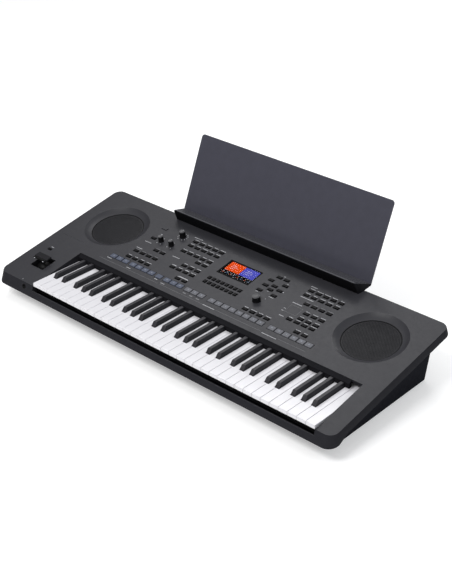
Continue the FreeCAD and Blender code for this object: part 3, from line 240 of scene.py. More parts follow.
def place_at(point, tilt=0.0):
    """Place at a point in metres, tilted about X, with its own lengths in millimetres."""
    return Matrix.Translation(point) @ Matrix.Rotation(tilt, 4, "X") @ Matrix.Scale(MILLIMETRE, 4)


def turned(shape, outline, place, steps=SMALL_TURN_STEPS, reach=None):
    """Turned form swept round the place's own Z from (radius, height) points in millimetres.

    Each band of faces takes the number given third in its first point as its material. The reach
    changes a ring's radius round the turn: it takes the ring's number and the angle.
    """
    rings = []
    for number, point in enumerate(outline):
        radius, height = point[:2]
        if radius == 0:
            rings.append([shape.verts.new(place @ Vector((0, 0, height)))])
            continue
        ring = []
        for step in range(steps):
            turn = 2 * math.pi * step / steps
            out = radius + (reach(number, turn) if reach else 0.0)
            spot = Vector((out * math.cos(turn), out * math.sin(turn), height))
            ring.append(shape.verts.new(place @ spot))
        rings.append(ring)
    for point, low, high in zip(outline, rings, rings[1:]):
        for step in range(steps):
            near = step % len(low), step % len(high)
            far = (step + 1) % len(low), (step + 1) % len(high)
            around = [low[near[0]], low[far[0]], high[far[1]], high[near[1]]]
            corners = [corner for index, corner in enumerate(around) if corner not in around[:index]]
            face = shape.faces.new(corners)
            face.material_index = point[2] if len(point) > 2 else 0


def parts_of(node, view=Matrix.Identity(4)):
    """Boxes of a node's separate solids as pairs of corners, along the axes of the given view."""
    shape = bmesh.new()
    shape.from_mesh(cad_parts[node].data)
    bmesh.ops.remove_doubles(shape, verts=shape.verts, dist=SAME_POINT)
    boxes, seen = [], set()
    for start in shape.verts:
        if start in seen:
            continue
        seen.add(start)
        group, waiting = [], [start]
        while waiting:
            vertex = waiting.pop()
            group.append(view @ vertex.co)
            for edge in vertex.link_edges:
                other = edge.other_vert(vertex)
                if other not in seen:
                    seen.add(other)
                    waiting.append(other)
        low = Vector([min(point[axis] for point in group) for axis in range(3)])
        high = Vector([max(point[axis] for point in group) for axis in range(3)])
        boxes.append((low, high))
    shape.free()
    return boxes


rubber = moulded("rubber", paint(36, 36, 37), roughness=0.8, grain=0.0006, depth=0.00004)
feet = bmesh.new()
for low, high in parts_of("rubber_feet"):
    middle = (low + high) / 2
    turned(feet, FOOT_OUTLINE, place_at((middle.x, middle.y, 0.0)))
piece_of("rubber_feet_moulded", feet, "case", [rubber], "rubber_feet")


# Case screws: ten blackened steel screws driven up through the tub's flange. Each has a pan head with a
# cross recess and stands square to the slope of the panel.
PANEL_TILT = math.radians(10.4)
SCREW_OUTLINE = [(1.4, -6.0), (1.4, 0.0), (3.0, 0.0), (3.0, 0.7), (2.5, 1.5), (1.9, 1.8), (1.5, 1.75),
                 (1.2, 0.8), (0, 0.6)]
SCREW_HEAD = 2.6
SCREW_TURN_STEPS = 48
CROSS_EDGE, CROSS_FLOOR = 6, 7
CROSS_HALF_WIDTH = 0.4
QUARTER_TURN = math.pi / 2
LEAST_SINE = 1e-6


def cross_recess(ring, turn):
    """Change of radius that turns two rings of the head into the outline of a cross."""
    if ring not in (CROSS_EDGE, CROSS_FLOOR):
        return 0.0
    length = SCREW_OUTLINE[ring][0]
    from_arm = abs((turn + QUARTER_TURN / 2) % QUARTER_TURN - QUARTER_TURN / 2)
    arm_end = length / math.cos(from_arm)
    arm_side = CROSS_HALF_WIDTH / max(math.sin(from_arm), LEAST_SINE)
    return min(arm_end, arm_side) - length


screw_steel = moulded("screw_steel", paint(88, 88, 92), roughness=0.35, grain=0.0003, depth=0.00001,
                      mottle=0.2, metal=1.0)
screws = bmesh.new()
for low, high in parts_of("case_screws"):
    length = (high - low).z / MILLIMETRE / math.cos(PANEL_TILT)
    seat = place_at((low + high) / 2, PANEL_TILT + math.pi)
    drop = Matrix.Translation((0, 0, length / 2 - SCREW_HEAD))
    turned(screws, SCREW_OUTLINE, seat @ drop, SCREW_TURN_STEPS, cross_recess)
piece_of("case_screws_cross_headed", screws, "case", [screw_steel], "case_screws")


# Sloped slab: the upper case, one large moulding in dark grey plastic, pierced for the controls and
# dished round the speakers. Its top has a fine even grain and its skirt a coarser one. The skirt and the
# walls of the openings take a darker copy of the plastic as painted shade, and the top's sharp edges a
# painted highlight.
PANEL_FRONT = Vector((0.0, -0.24794273, 0.062))
PANEL_UP = Vector((0.0, math.cos(PANEL_TILT), math.sin(PANEL_TILT)))
PANEL_OFF = Vector((0.0, -math.sin(PANEL_TILT), math.cos(PANEL_TILT)))
SKIRT_TURN = math.cos(math.radians(52))
CASE_ROUNDING = 0.0005


def on_panel(x, s, h=0.0):
    """Point in metres from millimetres along the panel, up its slope and square off it."""
    return PANEL_FRONT + (Vector((x, 0.0, 0.0)) + PANEL_UP * s + PANEL_OFF * h) * MILLIMETRE


def panel_place(x, s, h=0.0):
    """Place on the panel with its own Z square off the surface, in millimetres."""
    return place_at(on_panel(x, s, h), PANEL_TILT)


def of_shaded_skirt(face):
    """1 for a face standing upright, in the skirt round the slab or a wall of an opening, for painted
    shade; else 0.
    """
    return int(face.normal.dot(PANEL_OFF) < SKIRT_TURN)


# Pale sharp edges on the top: painted highlight as well as rubbed wear. Upright faces: a darker copy,
# painted shade.
case_plastic = moulded("case_plastic", paint(50, 50, 54), roughness=0.42, grain=0.0006, depth=0.00003,
                       mottle=0.04, gloss=0.2, wear_and_highlight=0.12, edge_reach=0.0016)
skirt_painted_shade = moulded("skirt_painted_shade", paint(39, 39, 43), roughness=0.6, grain=0.0009, depth=0.00006,
                        mottle=0.04, gloss=0.04, wear_and_highlight=0.05)
eased("upper_case", CASE_ROUNDING, [case_plastic, skirt_painted_shade], "case", of_shaded_skirt)


# Printing on the slab: pale grey ink, screened on in short strokes over the buttons and under the pads,
# with dots round the knobs and thin lines along the blocks. Some of it is in a fainter ink.
INK_HEIGHT = 0.05
PALE, FAINT = 0, 1
COLUMN_PITCH = 20.68
SONG_X, STYLE_X, MENU_X, VOICE_X = -269.5, -169.6, 99.0, 183.0
TOP_S, SECOND_S, THIRD_S, FOURTH_S, FIFTH_S, SIXTH_S, LOWEST_S = 347, 329.5, 304, 287, 262, 243.5, 217.5
TEMPO_S, EFFECT_TOP_S, EFFECT_NEXT_S = 270, 277, 257
PRINTED_ROWS = [
    (STYLE_X, range(5), TOP_S), (STYLE_X, range(5), SECOND_S), (STYLE_X, range(5), THIRD_S),
    (STYLE_X, range(3, 5), FOURTH_S), (STYLE_X, range(2, 5), FIFTH_S), (STYLE_X, range(1, 5), SIXTH_S),
    (STYLE_X, range(3, 5), LOWEST_S), (SONG_X, range(2, 4), TEMPO_S), (SONG_X, range(4), SIXTH_S),
    (SONG_X, range(4), LOWEST_S), (MENU_X, range(4), LOWEST_S), (VOICE_X, range(5), TOP_S),
    (VOICE_X, range(5), SECOND_S), (VOICE_X, range(1, 5), THIRD_S), (VOICE_X, range(2, 5), EFFECT_TOP_S),
    (VOICE_X, range(2, 5), EFFECT_NEXT_S), (VOICE_X, range(1, 5), SIXTH_S),
    (VOICE_X, range(3, 5), LOWEST_S)]
FAINT_ROWS = ((SONG_X, TEMPO_S), (SONG_X, SIXTH_S), (VOICE_X, THIRD_S))
ROW_RISE, ROW_LENGTHS, ROW_WIDTH = 7.0, (10.0, 16.0), 1.5
HEADINGS = [(-172, 361, 26), (-168, 276, 22), (-270, 285, 20), (-271, 256, 18), (186, 294, 27),
            (202, 176, 40), (25, 178, 34), (-305, 188, 16), (-236, 184, 14), (-149.5, 188, 10),
            (-124, 184, 12), (181, 361, 17), (192, 320, 36), (-459, 142, 8), (-424, 15, 3)]
HEADING_WIDTH = 1.7
SMALL_MARKS = [(79, 281, 6), (100.7, 355.6, 5), (100.4, 294, 4), (133.5, 309, 4), (124, 337, 4),
               (121, 280.5, 13), (114.5, 269.6, 3), (171, 268, 5), (171, 260, 5), (181, 244, 12),
               (-262, 326, 7)]
SMALL_WIDTH = 1.5
STROKES, LEAST_STROKE, STROKE_GAP = (1.6, 3.6), 1.0, 0.7
BRIGHT_MARKS = [(-148.9, 251.2, 9.0), (-107.6, 251.0, 9.0), (-96.7, 225.4, 26.0)]
BRIGHT_WIDTH = 2.4
PAD_LABELS = [(-56.6, 185.5), (-36.2, 185.5), (-15.8, 185.5)]
PAD_LABEL_SIZE = (9.0, 3.0)
BLOCK_LINES = [(-330, -135), (-128, 8), (44, 178), (226, 300)]
BLOCK_LINE_S, BLOCK_LINE_WIDTH = 178.5, 0.6
KNOB_SCALES = [(-211.3, 346, 12.6, 11), (-244.9, 305, 11.2, 3), (-211.1, 305, 11.2, 3)]
SCALE_START, SCALE_SWEEP = 240, 300
DOT_OUTLINE = [(1.1, 0.0), (1.05, INK_HEIGHT), (0, INK_HEIGHT)]
DOT_TURN_STEPS = 10
EFFECT_BOX_X, EFFECT_BOX_S, BOX_LINE = (176, 208), (260, 286), 0.5
DRAWN_IN = 0.25


def bar(shape, place, length, width, height=INK_HEIGHT, material=0):
    """Low bar with drawn-in top edges, lying along the place's own X."""
    rings = []
    for z, inset in ((0.0, 0.0), (height, min(width, height) * DRAWN_IN)):
        a, b = length / 2 - inset, width / 2 - inset
        corners = ((-a, -b), (a, -b), (a, b), (-a, b))
        rings.append([shape.verts.new(place @ Vector((x, y, z))) for x, y in corners])
    low, high = rings
    faces = [shape.faces.new(high)]
    for near in range(4):
        far = (near + 1) % 4
        faces.append(shape.faces.new([low[near], low[far], high[far], high[near]]))
    for face in faces:
        face.material_index = material


def label(shape, x, s, length, width, material=PALE):
    """Row of short printed strokes of uneven length."""
    start, end = x - length / 2, x + length / 2
    while start < end - LEAST_STROKE:
        stroke = min(random.uniform(*STROKES), end - start)
        bar(shape, panel_place(start + stroke / 2, s), stroke, width, material=material)
        start += stroke + STROKE_GAP


ink = moulded("panel_ink", paint(176, 177, 181), roughness=0.6, grain=0.0004, depth=0.000004)
faint_ink = moulded("faint_ink", paint(104, 105, 108), roughness=0.6, grain=0.0004, depth=0.000004)
prints = bmesh.new()
for first_x, columns, s in PRINTED_ROWS:
    row_ink = FAINT if (first_x, s) in FAINT_ROWS else PALE
    for column in columns:
        x = first_x + column * COLUMN_PITCH
        label(prints, x, s + ROW_RISE, random.uniform(*ROW_LENGTHS), ROW_WIDTH, row_ink)
for x, s, length in HEADINGS:
    label(prints, x, s, length, HEADING_WIDTH)
for x, s, length in SMALL_MARKS:
    label(prints, x, s, length, SMALL_WIDTH)
for x, s, length in BRIGHT_MARKS:
    bar(prints, panel_place(x, s), length, BRIGHT_WIDTH)
for x, s in PAD_LABELS:
    bar(prints, panel_place(x, s), *PAD_LABEL_SIZE, material=FAINT)
for start, end in BLOCK_LINES:
    middle = panel_place((start + end) / 2, BLOCK_LINE_S)
    bar(prints, middle, end - start, BLOCK_LINE_WIDTH, material=FAINT)
for x, s, radius, dots in KNOB_SCALES:
    for number in range(dots):
        turn = math.radians(SCALE_START - SCALE_SWEEP * number / (dots - 1))
        dot = panel_place(x + radius * math.cos(turn), s + radius * math.sin(turn))
        turned(prints, DOT_OUTLINE, dot, DOT_TURN_STEPS)
box_length, box_depth = EFFECT_BOX_X[1] - EFFECT_BOX_X[0], EFFECT_BOX_S[1] - EFFECT_BOX_S[0]
for s in EFFECT_BOX_S:
    bar(prints, panel_place(sum(EFFECT_BOX_X) / 2, s), box_length, BOX_LINE, material=FAINT)
for x in EFFECT_BOX_X:
    bar(prints, panel_place(x, sum(EFFECT_BOX_S) / 2), BOX_LINE, box_depth, material=FAINT)
piece_of("panel_print", prints, "case", [ink, faint_ink])


# Boards, mats and chassis: lacquered boards, rubber mats, a felt strip and black plastic mounts, fixed
# inside the case and only glimpsed through its gaps. They keep the frame's own shapes.
def finish_nodes(material, *names):
    """Gives nodes of the frame, in their own shapes, a finish."""
    for name in names:
        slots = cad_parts[name].data.materials
        slots.clear()
        slots.append(material)


board_lacquer = moulded("board_lacquer", paint(38, 82, 52), roughness=0.3, grain=0.002, depth=0.00001)
felt = moulded("felt", paint(40, 40, 42), roughness=0.95, grain=0.0008, depth=0.0002)
inner_plastic = moulded("inner_plastic", paint(22, 22, 24), roughness=0.6, grain=0.001, depth=0.00003,
                        gloss=0.3)
finish_nodes(board_lacquer, "panel_boards", "main_board", "key_contact_board")
finish_nodes(rubber, "switch_mats", "key_contact_strips")
finish_nodes(felt, "key_felt")
finish_nodes(inner_plastic, "key_chassis", "rotary_controls", "display_module", "joystick_housing")


# White keys: long hollow mouldings in polished white plastic, one for each natural note, hung on a
# grooved rail at the back. The keys of one note name are one group, which presses on its own.
KEY_ROUNDING = 0.0006
white_plastic = moulded("white_key_plastic", paint(218, 217, 221), roughness=0.22, grain=0.004,
                        depth=0.000006, mottle=0.012)
for note in "cdefgab":
    eased("keys_" + note, KEY_ROUNDING, [white_plastic], "keys_" + note)


# Black keys: raised mouldings in satin black plastic with sloped noses and drawn-in sides, hung on the
# same rail as the white ones. Their flanks are duller than the tops, and darker as painted shade.
BLACK_KEYS = ["keys_" + note + "_sharp" for note in "cdfga"]
WHITE_TOP, BLACK_SHARE = 0.072, 0.86
FLANK_TURN = 0.6


def of_shaded_flank(face):
    """1 for the flank of a black key, which takes painted shade, else 0."""
    return int(abs(face.normal.x) > FLANK_TURN)


def lowered(vertex):
    """Brings the top of a black key a little nearer to the white ones."""
    rise = vertex.co.z - WHITE_TOP
    if rise > 0:
        vertex.co.z = WHITE_TOP + rise * BLACK_SHARE


# The tops' pale rubbed edges are also a painted highlight; the flanks take a darker copy as painted shade.
black_plastic = moulded("black_key_plastic", paint(46, 45, 49), roughness=0.34, grain=0.0005,
                        depth=0.000012, gloss=0.35, wear_and_highlight=0.2)
flank_painted_shade = moulded("black_key_flank_painted_shade", paint(40, 40, 44), roughness=0.45, grain=0.0005, depth=0.00002,
                       gloss=0.15, wear_and_highlight=0.2)
for name in BLACK_KEYS:
    eased(name, KEY_ROUNDING, [black_plastic, flank_painted_shade], name, of_shaded_flank, lowered)


# Fall: the dark strip behind the keys, one long plastic moulding under the slab's front edge, darker than
# the slab as painted shade of the gap there. It slopes down over the black keys, with a tooth between each
# two of them that ends just above the white ones.
FALL_COVER = [(152.5, 83.3), (152.5, 84.2), (161.4, 90.4), (161.4, 84.4)]
FALL_TOOTH = [(152.8, 73.0), (152.8, 83.9), (161.2, 86.0), (161.2, 73.0)]
NOTCH_GAP = 1.0
OPENING_ENDS = (-427.0, 432.0)


def strip(shape, outline, start, end):
    """Length of the strip between two places along it, from its (depth, height) outline in millimetres."""
    front = place_at((0.0, PANEL_FRONT.y, 0.0))
    near, far = [[shape.verts.new(front @ Vector((x, y, z))) for y, z in outline] for x in (start, end)]
    shape.faces.new(near)
    shape.faces.new(far)
    for step in range(len(outline)):
        after = (step + 1) % len(outline)
        shape.faces.new([near[step], near[after], far[after], far[step]])


# Dark as painted shade under the slab's front edge.
fall_painted_shade = moulded("fall_painted_shade", paint(28, 28, 31), roughness=0.6, grain=0.0009, depth=0.00006,
                       mottle=0.04, gloss=0.02)
fall = bmesh.new()
boxes = [box for name in BLACK_KEYS for box in parts_of(name)]
spans = sorted((low.x / MILLIMETRE, high.x / MILLIMETRE) for low, high in boxes)
starts = [OPENING_ENDS[0]] + [end + NOTCH_GAP for start, end in spans]
ends = [start - NOTCH_GAP for start, end in spans] + [OPENING_ENDS[1]]
for start, end in zip(starts, ends):
    strip(fall, FALL_TOOTH, start, end)
strip(fall, FALL_COVER, *OPENING_ENDS)
piece_of("fall_shade_strip", fall, "case", [fall_painted_shade])


# Small buttons: black moulded caps in rows, which stand on a rubber mat and rise through the panel. A thin
# flat dark frame round each opening is painted shade of the gap round the cap. The standby button is in
# the grey of the case.
BUTTON_BLOCKS = ("song", "style", "track", "menu", "voice", "effect", "navigation", "display")
BUTTON_ROUNDING, STANDBY_ROUNDING = 0.0004, 0.0006
CAP_SIZE, SCREEN_CAP_SIZE = (14.0, 7.2), (8.4, 9.0)
SHADE_FRAME_WIDTH, SHADE_FRAME_GAP = 0.8, 0.8


def shade_frame(shape, place, length, depth, width):
    """Low flat frame round an opening of the given size, used as painted shade of its gap."""
    rings = []
    for grow, height in ((0.0, 0.0), (0.0, INK_HEIGHT), (width, INK_HEIGHT), (width, 0.0)):
        a, b = length / 2 + grow, depth / 2 + grow
        corners = ((-a, -b), (a, -b), (a, b), (-a, b))
        rings.append([shape.verts.new(place @ Vector((x, y, height))) for x, y in corners])
    for inner, outer in zip(rings, rings[1:]):
        for near in range(4):
            far = (near + 1) % 4
            shape.faces.new([inner[near], inner[far], outer[far], outer[near]])


def shade_frames_round(shape, node, cap_size, width):
    """A painted shade frame round each cap of a node, with an even gap between them."""
    length, depth = [size + SHADE_FRAME_GAP for size in cap_size]
    for low, high in parts_of(node, panel_place(0, 0).inverted()):
        shade_frame(shape, panel_place((low.x + high.x) / 2, (low.y + high.y) / 2), length, depth, width)


button_plastic = moulded("button_plastic", paint(14, 14, 16), roughness=0.45, grain=0.0004, depth=0.00001,
                         gloss=0.08)
# Flat dark frames round the button openings: painted shade of the gaps.
button_shade_frames = bmesh.new()
for block in BUTTON_BLOCKS:
    name = block + "_buttons"
    eased(name, BUTTON_ROUNDING, [button_plastic], name)
    shade_frames_round(button_shade_frames, name, SCREEN_CAP_SIZE if block == "display" else CAP_SIZE, SHADE_FRAME_WIDTH)
piece_of("button_shade_frames", button_shade_frames, "case", [button_plastic])
eased("hold_button", BUTTON_ROUNDING, [button_plastic], "hold_button")
eased("standby_button", STANDBY_ROUNDING, [case_plastic], "standby_button")


# Pads along the front of the panel: frosted translucent caps, moulded in grey or with a blue cast, in
# wells with a flat dark frame round each as painted shade. Each has a small pale sign printed on its top.
PAD_ROUNDING = 0.0005
PAD_PITCH = 20.38
PAD_S, PAD_RISE = 199.0, 1.4
PAD_SIZE = (17.78, 13.2)
WELL_SHADE_WIDTH = 0.85
PAD_ROWS = {"intro_pads": (-301.0, 3), "variation_pads": (-235.7, 4), "ending_pads": (-123.6, 3),
            "start_pads": (-56.6, 3), "registration_pads": (16.4, 8), "one_touch_pads": (191.5, 6)}
BLUE_PADS = ("intro_pads", "variation_pads", "ending_pads")
SIGN_LINES = [(0.0, (2.5, 5.0), 1.2), (2.4, (1.5, 4.0), 0.9)]
pad_plastic = moulded("pad_plastic", paint(92, 93, 99), roughness=0.5, grain=0.0005, depth=0.00001,
                      gloss=0.3, wear_and_highlight=0.1)
blue_pad_plastic = moulded("blue_pad_plastic", paint(73, 79, 95), roughness=0.5, grain=0.0005,
                           depth=0.00001, gloss=0.3, wear_and_highlight=0.1)
pad_ink = moulded("pad_ink", paint(134, 138, 150), roughness=0.6, grain=0.0004, depth=0.000004)
# Flat dark frames round the pads: painted shade of their wells.
well_shades = bmesh.new()
for name, (first_x, count) in PAD_ROWS.items():
    eased(name, PAD_ROUNDING, [blue_pad_plastic if name in BLUE_PADS else pad_plastic], name)
    shade_frames_round(well_shades, name, PAD_SIZE, WELL_SHADE_WIDTH)
    signs = bmesh.new()
    for number in range(count):
        for rise, lengths, width in SIGN_LINES:
            place = panel_place(first_x + number * PAD_PITCH, PAD_S + rise, PAD_RISE)
            bar(signs, place, random.uniform(*lengths), width)
    piece_of(name + "_signs", signs, name, [pad_ink])
piece_of("pad_well_shades", well_shades, "case", [button_plastic])


# Knobs: black moulded caps with fine grip ribs, a grey ring round the crown as painted highlight and a
# pale pointer line, pushed onto the spindles of the rotary controls. The data dial turns without end and
# has no pointer.
KNOBS = {"volume_knob": (-211.3, 346.0, 8.0, 16.0), "control_knob_left": (-244.9, 305.0, 7.0, 14.0),
         "control_knob_right": (-211.1, 305.0, 7.0, 14.0), "data_dial": (101.5, 254.0, 10.0, 13.0)}
CROWN_HIGHLIGHT, POINTER = 1, 2
KNOB_FOOT = 0.6
KNOB_BASE = [(2.0, 0.0), (0.0, 0.0), (0.0, 1.0), (0.35, 2.0)]
KNOB_TOP = [(0.9, 2.0), (0.95, 0.8, CROWN_HIGHLIGHT), (1.4, 0.0, CROWN_HIGHLIGHT), (2.2, 0.0, CROWN_HIGHLIGHT), (2.9, 0.45, CROWN_HIGHLIGHT)]
CROWN_DIP = 0.6
RIBS, STEPS_PER_RIB, RIB_DEPTH, RIBBED_RINGS = 26, 4, 0.35, (3, 4)
POINTER_SIZE, POINTER_INSET, POINTER_SINK = (4.0, 0.9, 0.6), 3.0, 0.5


def grip(ring, turn):
    """Change of radius that cuts the ribs into the sides of a knob."""
    return -RIB_DEPTH * (0.5 + 0.5 * math.cos(RIBS * turn)) if ring in RIBBED_RINGS else 0.0


knob_plastic = moulded("knob_plastic", paint(13, 13, 15), roughness=0.45, grain=0.0005, depth=0.00001,
                       gloss=0.15)
# The crown's grey ring is a painted highlight.
crown_painted_highlight = moulded("crown_painted_highlight", paint(64, 64, 67), roughness=0.4, grain=0.0005, depth=0.00001)
for name, (x, s, radius, height) in KNOBS.items():
    top = KNOB_FOOT + height
    outline = [(radius - inset, KNOB_FOOT + rise) for inset, rise in KNOB_BASE]
    outline += [(radius - inset, top - drop, *finish) for inset, drop, *finish in KNOB_TOP]
    outline.append((0, top - CROWN_DIP))
    knob = bmesh.new()
    turned(knob, outline, panel_place(x, s), RIBS * STEPS_PER_RIB, grip)
    if name != "data_dial":
        line = panel_place(x, s + radius - POINTER_INSET, top - POINTER_SINK)
        bar(knob, line @ Matrix.Rotation(QUARTER_TURN, 4, "Z"), *POINTER_SIZE, POINTER)
    piece_of(name + "_ribbed", knob, name, [knob_plastic, crown_painted_highlight, ink], name)


# Speakers: at each end a pressed steel grille in black paint, punched with a close lattice of round
# holes, over a paper cone. It lies in a dish of the slab, with a dark band round its edge as painted shade
# of the gap to the dish.
SPEAKER_X, SPEAKER_S = 385.5, 292.0
GRILLE_RADIUS, GRILLE_RIM, GRILLE_HEIGHT, GRILLE_CROWN = 65.8, 64.6, -10.4, 1.2
GRILLE_LEVEL = 0.55
# Dark band round the grille's rim: painted shade of the gap to the dish, in the cone's dark colour.
EDGE_SHADE = 1
GRILLE_EDGE = [(61.0, GRILLE_HEIGHT - 0.3), (61.2, GRILLE_HEIGHT + 0.3), (63.0, GRILLE_HEIGHT + 0.1, EDGE_SHADE),
               (GRILLE_RIM, GRILLE_HEIGHT, EDGE_SHADE), (GRILLE_RADIUS, GRILLE_HEIGHT)]
GRILLE_TURN_STEPS = 96
HOLE_PITCH, HOLE_RADIUS, SHEET_DEPTH = 3.6, 1.2, 0.9
ROW_PITCH = HOLE_PITCH * math.sqrt(0.75)
CORNER_REACH = HOLE_PITCH / math.sqrt(3)
CELL_SIDES = 6


def grille_height(x, y):
    """Height of the pressed sheet: level in the middle, falling to the rim from just past half way."""
    level = GRILLE_LEVEL * GRILLE_RADIUS
    drop = min(max((math.hypot(x, y) - level) / (GRILLE_RIM - level), 0.0), 1.0)
    return GRILLE_HEIGHT + GRILLE_CROWN * (1 - drop)


def punched_sheet(shape, place):
    """Lattice of six-sided cells, each with a hole through it, sharing their corners."""
    rows = int(GRILLE_RIM / ROW_PITCH)
    corners = {}

    def vertex(x, y, drop=0.0):
        return shape.verts.new(place @ Vector((x, y, grille_height(x, y) - drop)))

    for row in range(-rows, rows + 1):
        for column in range(-rows, rows + 1):
            x, y = (column + 0.5 * (row % 2)) * HOLE_PITCH, row * ROW_PITCH
            if math.hypot(x, y) > GRILLE_RIM - CORNER_REACH:
                continue
            outer, upper, lower = [], [], []
            for side in range(CELL_SIDES):
                turn = 2 * math.pi * (side + 0.5) / CELL_SIDES
                across, along = math.cos(turn), math.sin(turn)
                spot = (x + CORNER_REACH * across, y + CORNER_REACH * along)
                hole = (x + HOLE_RADIUS * across, y + HOLE_RADIUS * along)
                key = (round(spot[0], 2), round(spot[1], 2))
                if key not in corners:
                    corners[key] = vertex(*spot)
                outer.append(corners[key])
                upper.append(vertex(*hole))
                lower.append(vertex(*hole, SHEET_DEPTH))
            for side in range(CELL_SIDES):
                far = (side + 1) % CELL_SIDES
                shape.faces.new([outer[side], outer[far], upper[far], upper[side]])
                shape.faces.new([upper[side], upper[far], lower[far], lower[side]])


grille_paint = moulded("grille_paint", paint(38, 38, 41), roughness=0.5, grain=0.0006, depth=0.00001,
                       gloss=0.15)
cone_paper = moulded("cone_paper", paint(20, 20, 21), roughness=0.85, grain=0.002, depth=0.0001, gloss=0.2)
for side, x in (("left", -SPEAKER_X), ("right", SPEAKER_X)):
    grille = bmesh.new()
    punched_sheet(grille, panel_place(x, SPEAKER_S))
    turned(grille, GRILLE_EDGE, panel_place(x, SPEAKER_S), GRILLE_TURN_STEPS)
    node = "speaker_grille_" + side
    piece_of(node + "_punched", grille, "case", [grille_paint, cone_paper], node)
finish_nodes(cone_paper, "speaker_cone_left", "speaker_cone_right")
finish_nodes(inner_plastic, "speaker_frame_left", "speaker_frame_right")


# Joystick: a domed stick in a square pocket of the left cheek. A broad black paddle is pressed over its
# end, and two plated pins under the paddle's near edge hold the two together.
STICK_ROUNDING = 0.0005
PLATED = 1
PADDLE_PLACE = (-432.0, 90.5, 13.6)
PADDLE_SIZE = (42.6, 17.0, 3.2)
PADDLE_PINS = ((-447.0, 75.9), (-417.0, 75.9))
PIN_OUTLINE = [(0, 2.1), (1.2, 1.9), (1.9, 1.1), (1.9, -0.7), (1.5, -1.2), (0, -1.3)]
stick_plastic = moulded("stick_plastic", paint(12, 12, 13), roughness=0.5, grain=0.0005, depth=0.00001,
                        gloss=0.12)
paddle_plastic = moulded("paddle_plastic", paint(32, 32, 35), roughness=0.55, grain=0.0006, depth=0.00003,
                         gloss=0.08, wear_and_highlight=0.08)
plated = moulded("plated_steel", paint(196, 196, 200), roughness=0.25, grain=0.002, depth=0.000002,
                 metal=1.0)
finish_nodes(inner_plastic, "joystick_yoke")
eased("joystick_lever", STICK_ROUNDING, [stick_plastic], "joystick_lever")
paddle = bmesh.new()
bar(paddle, panel_place(*PADDLE_PLACE), *PADDLE_SIZE)
for x, s in PADDLE_PINS:
    turned(paddle, [point + (PLATED,) for point in PIN_OUTLINE], panel_place(x, s, PADDLE_PLACE[2]))
piece_of("joystick_paddle", paddle, "joystick_lever", [paddle_plastic, plated])


# Sockets: round jacks moulded in black nylon and fixed in the front and rear walls of the case. Each has
# a raised ring round its mouth, and the power inlet a smaller one.
SOCKET_RING = [(3.3, -2.5), (3.3, 0.3), (3.8, 0.7), (5.2, 0.7), (5.9, 0.3), (6.1, -0.4)]
INLET_RING = [(2.9, -2.5), (2.9, 0.2), (3.4, 0.5), (4.8, 0.5), (5.3, -0.4)]
HEADPHONE_PLACE = (-412.0, 3.96, -10.39)
HEADPHONE_TILT = math.radians(73.4)
socket_nylon = moulded("socket_nylon", paint(11, 11, 12), roughness=0.5, grain=0.0006, depth=0.00001,
                       gloss=0.06)
finish_nodes(inner_plastic, "headphone_socket", "rear_sockets", "power_inlet")
rings = bmesh.new()
turned(rings, SOCKET_RING, place_at(on_panel(*HEADPHONE_PLACE), HEADPHONE_TILT))
for node, outline in (("rear_sockets", SOCKET_RING), ("power_inlet", INLET_RING)):
    for low, high in parts_of(node):
        mouth = Vector(((low.x + high.x) / 2, high.y, (low.z + high.z) / 2))
        turned(rings, outline, place_at(mouth, -QUARTER_TURN))
piece_of("socket_rings", rings, "case", [socket_nylon])


# Display: a clear moulded lens set flush in the panel, with a black frame printed round its edge. Behind
# it is a lit colour screen with two large tiles, short pale lines and a row of small marks.
DISPLAY_S = 313.0
SCREEN_H = -2.2
SCREEN_SIZE = (92.0, 51.0, 0.2)
TILE_H, TILE_DEPTH = SCREEN_H + SCREEN_SIZE[2], 0.1
TILES = [(-20.75, 322.0, 42.5, 31.0, (238, 78, 10)), (22.25, 322.0, 41.5, 31.0, (80, 84, 196))]
LINE_H, LINE_DEPTH, LINE_WIDTH = TILE_H + TILE_DEPTH, 0.05, 1.0
SCREEN_LINES = [(-26, 327, 14), (-24, 322, 18), (-27, 316, 10), (18, 328, 12), (20, 323, 20),
                (18, 317, 14)]
MARKS, MARK_START, MARK_PITCH = 8, -38, 11
MARK_S, MARK_LENGTHS, MARK_WIDTH = 297, (3, 7), 2.2
MARK_HEAD_S, MARK_HEAD_LENGTHS, MARK_HEAD_WIDTH = 301.5, (2, 5), 0.9
TILE_GLOW, LINE_GLOW, MARK_GLOW = 1.0, 0.9, 0.6
GLOW_LUMP, GLOW_LEAST = 0.012, 0.9
LENS_LENGTH, LENS_WIDTH = 96.4, 55.4
LENS_LIGHT = [0.9, 0.9, 0.9, 1.0]
LENS_BEND = 1.05
FRAME_LOW, FRAME_HIGH, FRAME_SIDE = 4.4, 2.8, 3.6
UNLIT = [0.01, 0.01, 0.01, 1.0]


def lit(name, colour, strength):
    """Glowing part of a screen, its brightness drifting a little as behind a real diffuser."""
    material = moulded(name, UNLIT, roughness=0.5, grain=0.002, depth=0.000001, gloss=0.0)
    tree = material.node_tree
    surface = tree.nodes["Principled BSDF"]
    cloud = spread(tree, lumps(tree, GLOW_LUMP), 0.0, 1.0)
    drift = blended(tree, cloud, shaded(colour, GLOW_LEAST), colour)
    tree.links.new(drift, surface.inputs["Emission Color"])
    surface.inputs["Emission Strength"].default_value = strength
    return material


